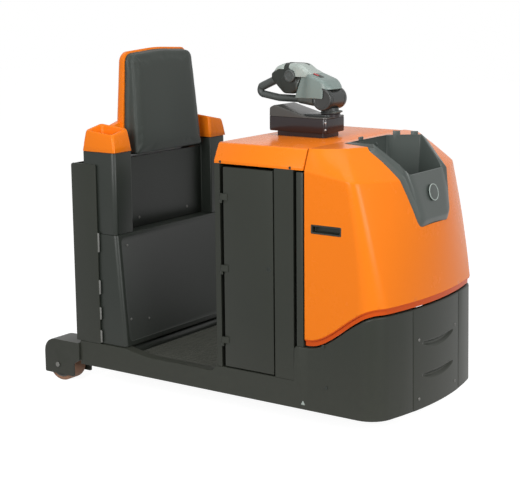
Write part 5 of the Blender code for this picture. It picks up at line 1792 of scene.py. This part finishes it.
def addConsole():
    rear, front, half = consoleForm["rear"], consoleForm["rear"] + consoleForm["long"], consoleForm["half"]
    plan = panel(rear, front, -half, half, (0.01, 0.015, 0.015, 0.01), 8)
    levels = (
        (consoleForm["foot"], 0.004), (1.1432, 0.0014), (1.1465, 0.0), (1.1985, 0.0), (1.2, 0.0008),
        (1.2002, 0.0022),
    )
    foot = panel(rear + 0.03, front - 0.02, -half + 0.016, half - 0.016, 0.006, 4)
    neck = turned([(0.04, 1.206), (0.04, 1.2165), (0.0385, 1.218), (0.03, 1.218)], "Z", steerAxis, 0, 48)
    core = boxed(rear + 0.006, front - 0.006, -half + 0.006, half - 0.006, 1.196, 1.2045)
    made(
        "consoleBox", joined(layered(plan, levels), prism(foot, "Z", 1.1223, 1.146), neck, core), "moulded_black",
        replaced=("steering_console",), smooth=40, material=glossBox,
    )

    line = consoleTop()
    stations = []
    ends = [(rear + 0.01 * (1 - cos(pi / 2 * k / 7)), half - 0.01 * (1 - sin(pi / 2 * k / 7))) for k in range(8)]
    span = [rear + 0.01 + (front - 0.015 - rear - 0.01) * k / 60 for k in range(1, 60)]
    tips = [
        (front - 0.015 + 0.015 * sin(pi / 2 * k / 9), half - 0.015 + 0.015 * cos(pi / 2 * k / 9))
        for k in range(10)
    ]
    for x, w in ends + [(x, half) for x in span] + tips:
        high = heightAt(line, x)
        if x > front - 0.004:
            high -= 0.004 - sqrt(max(0.0, 0.004**2 - (x - front + 0.004) ** 2))
        low = consoleForm["split"]
        stations.append((x, w, low + 0.0006, max(high, low + 0.004), 0.0045, 0.0006, 0.0, 0.0015))
    made("consoleCover", sectioned(stations), "tray_grey", smooth=45, material=satinCover)
    screws = [
        placed(domedScrew(0.0036, 0.0018), (front - 0.004, -half + 0.0042, z), (0.7, -0.7, 0))
        for z in (1.158, 1.186)
    ]
    fixings("consoleScrews", screws)


addConsole()

handleForm = {
    "hubX": steerAxis - 0.0045, "hubZ": 1.278, "hubRadius": 0.045, "hubHalf": 0.062,
    "bodyLean": 0.342, "thumb": (steerAxis - 0.168, 1.366),
}
headLine = [
    (-0.2685, 1.352, 0.006), (-0.242, 1.324, 0.014), (-0.208, 1.292, 0.03), (-0.16, 1.292, 0.02),
    (-0.1455, 1.3017, 0), (-0.1217, 1.342, 0),
    (-0.1171, 1.364, 0), (-0.1097, 1.3765, 0), (-0.12, 1.4, 0.008), (-0.23, 1.4, 0.03), (-0.2685, 1.372, 0.008),
]
gripLine = [(-0.1468, 1.2705, 0), (-0.25, 1.2705, 0.05), (-0.388, 1.291, 0.0168), (-0.218, 1.366, 0)]


def besideAxis(line, steps):
    return rounded([(steerAxis + x, z, r) for x, z, r in line], steps)


def hubShape():
    x, z, r, half = handleForm["hubX"], handleForm["hubZ"], handleForm["hubRadius"], handleForm["hubHalf"]
    profile = [
        (0.026, 0.0024 - half), (0.0335, 0.0022 - half), (0.035, 0.0004 - half), (0.0405, 0.0 - half),
        (0.0425, 0.0006 - half), (0.044, 0.0018 - half), (r, 0.004 - half),
    ]
    profile += [(r, -0.044), (0.0435, -0.0434), (0.0435, -0.0416), (r, -0.041)]
    barrel = turned(bothEnds(profile), "Y", x, z, 72)
    neck = turned(
        [(0.0345, 1.2183), (0.0355, 1.219), (0.0355, 1.227), (0.0335, 1.229), (0.0335, 1.242)],
        "Z", steerAxis, 0, 44,
    )
    tongue = panel(steerAxis - 0.03, steerAxis + 0.042, -0.03, 0.03, (0.006, 0.008, 0.008, 0.006), 5)
    return joined(barrel, neck), pillow(tongue, "Z", 1.2225, 1.23, 0.0022, 3)


bodyTop = rounded([(0.245, 1.377, 0), (0.302, 1.377, 0.03), (0.367, 1.3545, 0.04), (0.4075, 1.319, 0)], 10)


def upperBody():
    stations = []
    # Close steps at the rounded rear edge, even ones along the body and closing ones at the front.
    span = [0.2222, 0.2228, 0.2245, 0.227, 0.23]
    span += [0.23 + 0.132 * k / 30 for k in range(1, 31)]
    span += [0.362 + 0.0438 * sin(pi / 2 * k / 12) for k in range(1, 12)]
    shrinks = [0.0065, 0.0038, 0.0015, 0.0004]
    for k, x in enumerate(span):
        shrink = shrinks[k] if k < 4 else 0.0
        half = 0.045 + 0.0205 * smoothStep((x - 0.235) / 0.082) - shrink
        lean = handleForm["bodyLean"] * (1 - smoothStep((x - 0.2222) / 0.085))
        low = 1.2775 + 0.0035 * smoothStep((x - 0.222) / 0.12)
        if x > 0.362:
            low = 1.281 + 0.037 * smoothStep((x - 0.37) / 0.008)
            half = 0.0655 * sqrt(max(0.02, 1 - ((x - 0.362) / 0.045) ** 2))
        high = heightAt(bodyTop, x + lean * (1.377 - low)) - shrink
        stations.append((x, half, low + shrink * 0.4, max(high, low + 0.003), 0.016, 0.0015, lean, 0.005))
    return sectioned(stations, 8)


def lowerBody():
    stations = []
    for k in range(15):
        t = k / 14
        x = 0.2232 + 0.12 * t
        shrink = (0.006, 0.002, 0.0)[min(k, 2)]
        half = 0.045 + 0.019 * smoothStep((x - 0.235) / 0.1) - 0.0012
        stations.append(
            (
                x, half - shrink, 1.256 - 0.009 * t + shrink, 1.281, 0.002, 0.017,
                handleForm["bodyLean"] * max(0, 1 - t * 3), 0.0,
            )
        )
    return sectioned(stations, 6)


def cowlShapes():
    rearTop = rounded([(0.0925, 1.364, 0), (0.1185, 1.399, 0.03), (0.164, 1.417, 0.04), (0.192, 1.4175, 0)], 8)
    rear, band = [], []
    for k in range(15):
        x = 0.0932 + 0.0718 * (1 - cos(pi / 2 * k / 14))
        high = heightAt(rearTop, x) - (0.0 if k < 14 else 0.001)
        low = 1.3625 + 0.029 * smoothStep((x - 0.0925) / 0.05)
        half = 0.0215 + 0.0165 * sin(pi / 2 * min(1.0, (x - 0.0925) / 0.055))
        half -= 0.0 if k < 14 else 0.0008
        rear.append((x, half, low, max(high, low + 0.002), 0.026, 0.0008, 0.0, 0.006))
    for x in (0.164, 0.17, 0.178, 0.186, 0.192):
        band.append((x, 0.0362, 1.385, 1.416, 0.024, 0.0008, 0.0, 0.006))
    frontTop = rounded([(0.189, 1.4165, 0), (0.25, 1.4165, 0.05), (0.3045, 1.3772, 0)], 10)
    front = []
    for k in range(29):
        x = 0.19 + 0.114 * k / 28
        high = heightAt(frontTop, x) - (0.001 if k == 0 else 0.0)
        low = 1.396 - 0.0325 * smoothStep((x - 0.19) / 0.04) + 0.011 * smoothStep((x - 0.278) / 0.016)
        half = 0.0375 + 0.0093 * smoothStep((x - 0.19) / 0.045) - (0.001 if k == 0 else 0.0)
        front.append((x, half, low, max(high, low + 0.0015), 0.022, 0.0008, 0.0, 0.004))
    strip, drops = [], (
        (0.004, 0.0), (0.01, 0.0), (0.0145, 0.0004), (0.02, 0.0022), (0.0255, 0.0055), (0.03, 0.0105),
        (0.033, 0.0165),
    )
    for k in range(20):
        x = 0.166 + 0.096 * k / 19
        high = min(heightAt(frontTop, x), heightAt(rearTop, x)) if x < 0.192 else heightAt(frontTop, x)
        lift = 0.0012 if 0 < k < 19 else 0.0
        outer = [(x, y, high + lift - drop) for y, drop in drops]
        inner = [(x, y, z - 0.004) for x, y, z in reversed(outer)]
        strip.append(outer + inner)
    return sectioned(rear, 8), sectioned(band, 8), sectioned(front, 8), loft(strip)


def knobShape():
    # Scalloped thumb wheel on each side and the shaft between.
    (x, z), low, high = handleForm["thumb"], 0.035, 0.052
    rings = []
    for radius, y, wave in (
        (0.0215, low, 0.0), (0.025, low + 0.001, 0.0), (0.026, low + 0.0028, 0.0005), (0.026, high - 0.005, 0.0005),
        (0.0252, high - 0.0018, 0.0002), (0.0228, high - 0.0002, 0.0), (0.0185, high, 0.0),
        (0.0172, high - 0.0012, 0.0), (0.012, high - 0.0016, 0.0), (0.0075, high - 0.0014, 0.0),
        (0.0068, high - 0.0002, 0.0), (0.0001, high + 0.0002, 0.0),
    ):
        ring = []
        for k in range(144):
            a = 2 * pi * k / 144
            r = radius - wave * (1 - abs(cos(a * 12)))
            ring.append((x + r * cos(a), -y, z + r * sin(a)))
        rings.append(ring)
    knob = loft(rings)
    shaft = turned([(0.006, -0.0355), (0.006, 0.0355)], "Y", x, z, 20)
    return joined(knob, mirrored(knob), shaft)


def tillerGrip():
    points = besideAxis(gripLine, 12)
    fine = []
    for (xa, za), (xb, zb) in zip(points, points[1:]):
        count = max(1, int(hypot(xb - xa, zb - za) / 0.004))
        fine += [(xa + (xb - xa) * k / count, 0.0, za + (zb - za) * k / count) for k in range(count)]
    fine.append((points[-1][0], 0.0, points[-1][1]))
    # The lower run is bare tube, the upper one carries a thicker sleeve from the bend on.
    length = [0.0]
    for a, b in zip(fine, fine[1:]):
        length.append(length[-1] + dist(a, b))
    start = next(length[k] for k, p in enumerate(fine) if p[2] > 1.305 and p[0] < 0.06)
    radii = [0.015 + 0.0026 * smoothStep((s - start) / 0.006) for s in length]
    keep = [k for k, s in enumerate(length) if s < length[-1] - 0.004]
    return tubed([fine[k] for k in keep], [radii[k] for k in keep], 28)


def addHandle():
    x, z, r, half = handleForm["hubX"], handleForm["hubZ"], handleForm["hubRadius"], handleForm["hubHalf"]
    barrel, tongue = hubShape()
    made("handleHub", barrel, "moulded_black", "handle", ("handle_hub",), smooth=35, material=hubBlack)
    made("hubTongue", tongue, "tray_grey", "handle", smooth=40)
    # A turning flange under the hub, over a low plinth on the console.
    flange = turned(
        [(0.034, 1.2192), (0.04, 1.2192), (0.0415, 1.2202), (0.0415, 1.2225), (0.0395, 1.2245), (0.035, 1.2252)],
        "Z", steerAxis, 0, 64,
    )
    made("steerFlange", flange, "moulded_black", "handle", smooth=35, material=hubBlack)
    plinth = panel(steerAxis - 0.112, steerAxis + 0.021, -0.05, 0.05, (0.028, 0.018, 0.018, 0.028), 8)
    made("steerPlinth", pillow(plinth, "Z", 1.206, 1.216, 0.003, 3), "moulded_black", smooth=35, material=hubBlack)
    room = turned([(r + 0.0005, -half - fit), (r + 0.0005, half + fit)], "Y", x, z, 72)
    well = prism(ringAt(steerAxis, 0, 0.0365, 48), "Z", 1.2, 1.2835)
    front = [
        boxed(0.3705, 0.43, s * 0.0621 if s > 0 else -0.08, 0.08 if s > 0 else -0.0621, 1.24, 1.36)
        for s in (-1, 1)
    ]
    made("handleBody", upperBody(), "handle_grey", "handle", ("handle_body",), smooth=45, cuts=(room, well, *front))
    through = turned([(r + 0.0005, -0.1), (r + 0.0005, 0.1)], "Y", x, z, 72)
    made("bodyPan", lowerBody(), "tray_grey", "handle", smooth=45, cuts=(through, well))

    head = pillow(besideAxis(headLine, 6), "Y", -0.034, 0.034, 0.007, 4)
    boss = turned(bothEnds([(0.0395, -0.0362), (0.041, -0.0352), (0.0418, -0.033)]), "Y", 0.189, 1.3345, 60)
    shaft = turned([(0.007, -0.1), (0.007, 0.1)], "Y", *handleForm["thumb"], 28)
    made("handleHead", head, "moulded_black", "handle", ("handle_head",), smooth=45, cuts=(shaft,))
    made("headBoss", boss, "moulded_black", "handle", smooth=40, cuts=(shaft,))

    # A wide collar closes the rear face of the body, behind the thumb wheels.
    collar = [(0.029, 0.0), (0.04, 0.0), (0.043, 0.001), (0.044, 0.003), (0.044, 0.007), (0.0432, 0.009)]
    ring = turned(collar, "Z", 0, 0, 64)
    ring = ([(px, py * 1.04, pz) for px, py, pz in ring[0]], ring[1])
    turn = Matrix.Rotation(atan(handleForm["bodyLean"]) - radians(90), 3, "Y")
    centre = Vector((0.2385, 0, 1.33))
    made(
        "bodyCollar", ([tuple(centre + turn @ Vector(p)) for p in ring[0]], ring[1]),
        "tray_grey", "handle", smooth=40,
    )

    rear, band, cowl, strip = cowlShapes()
    made("cowlFront", cowl, "cowl_grey", "handle", ("handle_cowl",), smooth=50)
    made("cowlRear", rear, "cowl_grey", "handle", smooth=50)
    made("cowlBand", joined(band, strip), "moulded_black", "handle", smooth=45)

    made("handleGrip", tillerGrip(), "moulded_black", "handle", ("handle_grip",), smooth=40, material=gripRubber)
    joint = tubed([(0.219, 0, 1.2705), (0.223, 0, 1.2705)], 0.0168, 28)
    end = turned([(0.0185, -0.012), (0.0195, -0.01), (0.0195, 0.004), (0.018, 0.006)], "Z", 0, 0, 36)
    end = placed(end, (0.118, 0, 1.3517), (0.915, 0, 0.404))
    made("gripEnds", joined(joint, end), "moulded_black", "handle", smooth=35)
    made(
        "thumbWheels", knobShape(), "platform_rubber", "speed_roller", ("speed_roller",),
        smooth=35, material=gripRubber,
    )

    slope = Vector((0.327, 0, 0.945))
    top = heightAt(bodyTop, 0.3145)
    inset = pillow(panel(-0.015, 0.015, -0.03, 0.03, 0.004, 5), "Z", -0.004, 0.0008, 0.0006, 2)
    made("switchPlate", placed(inset, (0.3145, -0.019, top + 0.0002), slope), "moulded_black", "handle", smooth=30)
    button = pillow(panel(-0.0075, 0.0075, -0.0115, 0.0115, 0.003, 5), "Z", -0.001, 0.003, 0.0014, 3)
    made(
        "redButton", placed(button, (0.3155, -0.024, heightAt(bodyTop, 0.3155) + 0.0004), slope),
        "handle_grey", "handle", smooth=40, material=buttonRed,
    )
    horn = turned([(0.0085, -0.002), (0.0085, 0.0016), (0.0072, 0.003), (0.0001, 0.0036)], "Z", 0, 0, 28)
    made("rearButton", placed(horn, (0.0965, 0, 1.369), (-0.8, 0, 0.6)), "moulded_black", "handle", smooth=40)


addHandle()
print("console and handle ready")
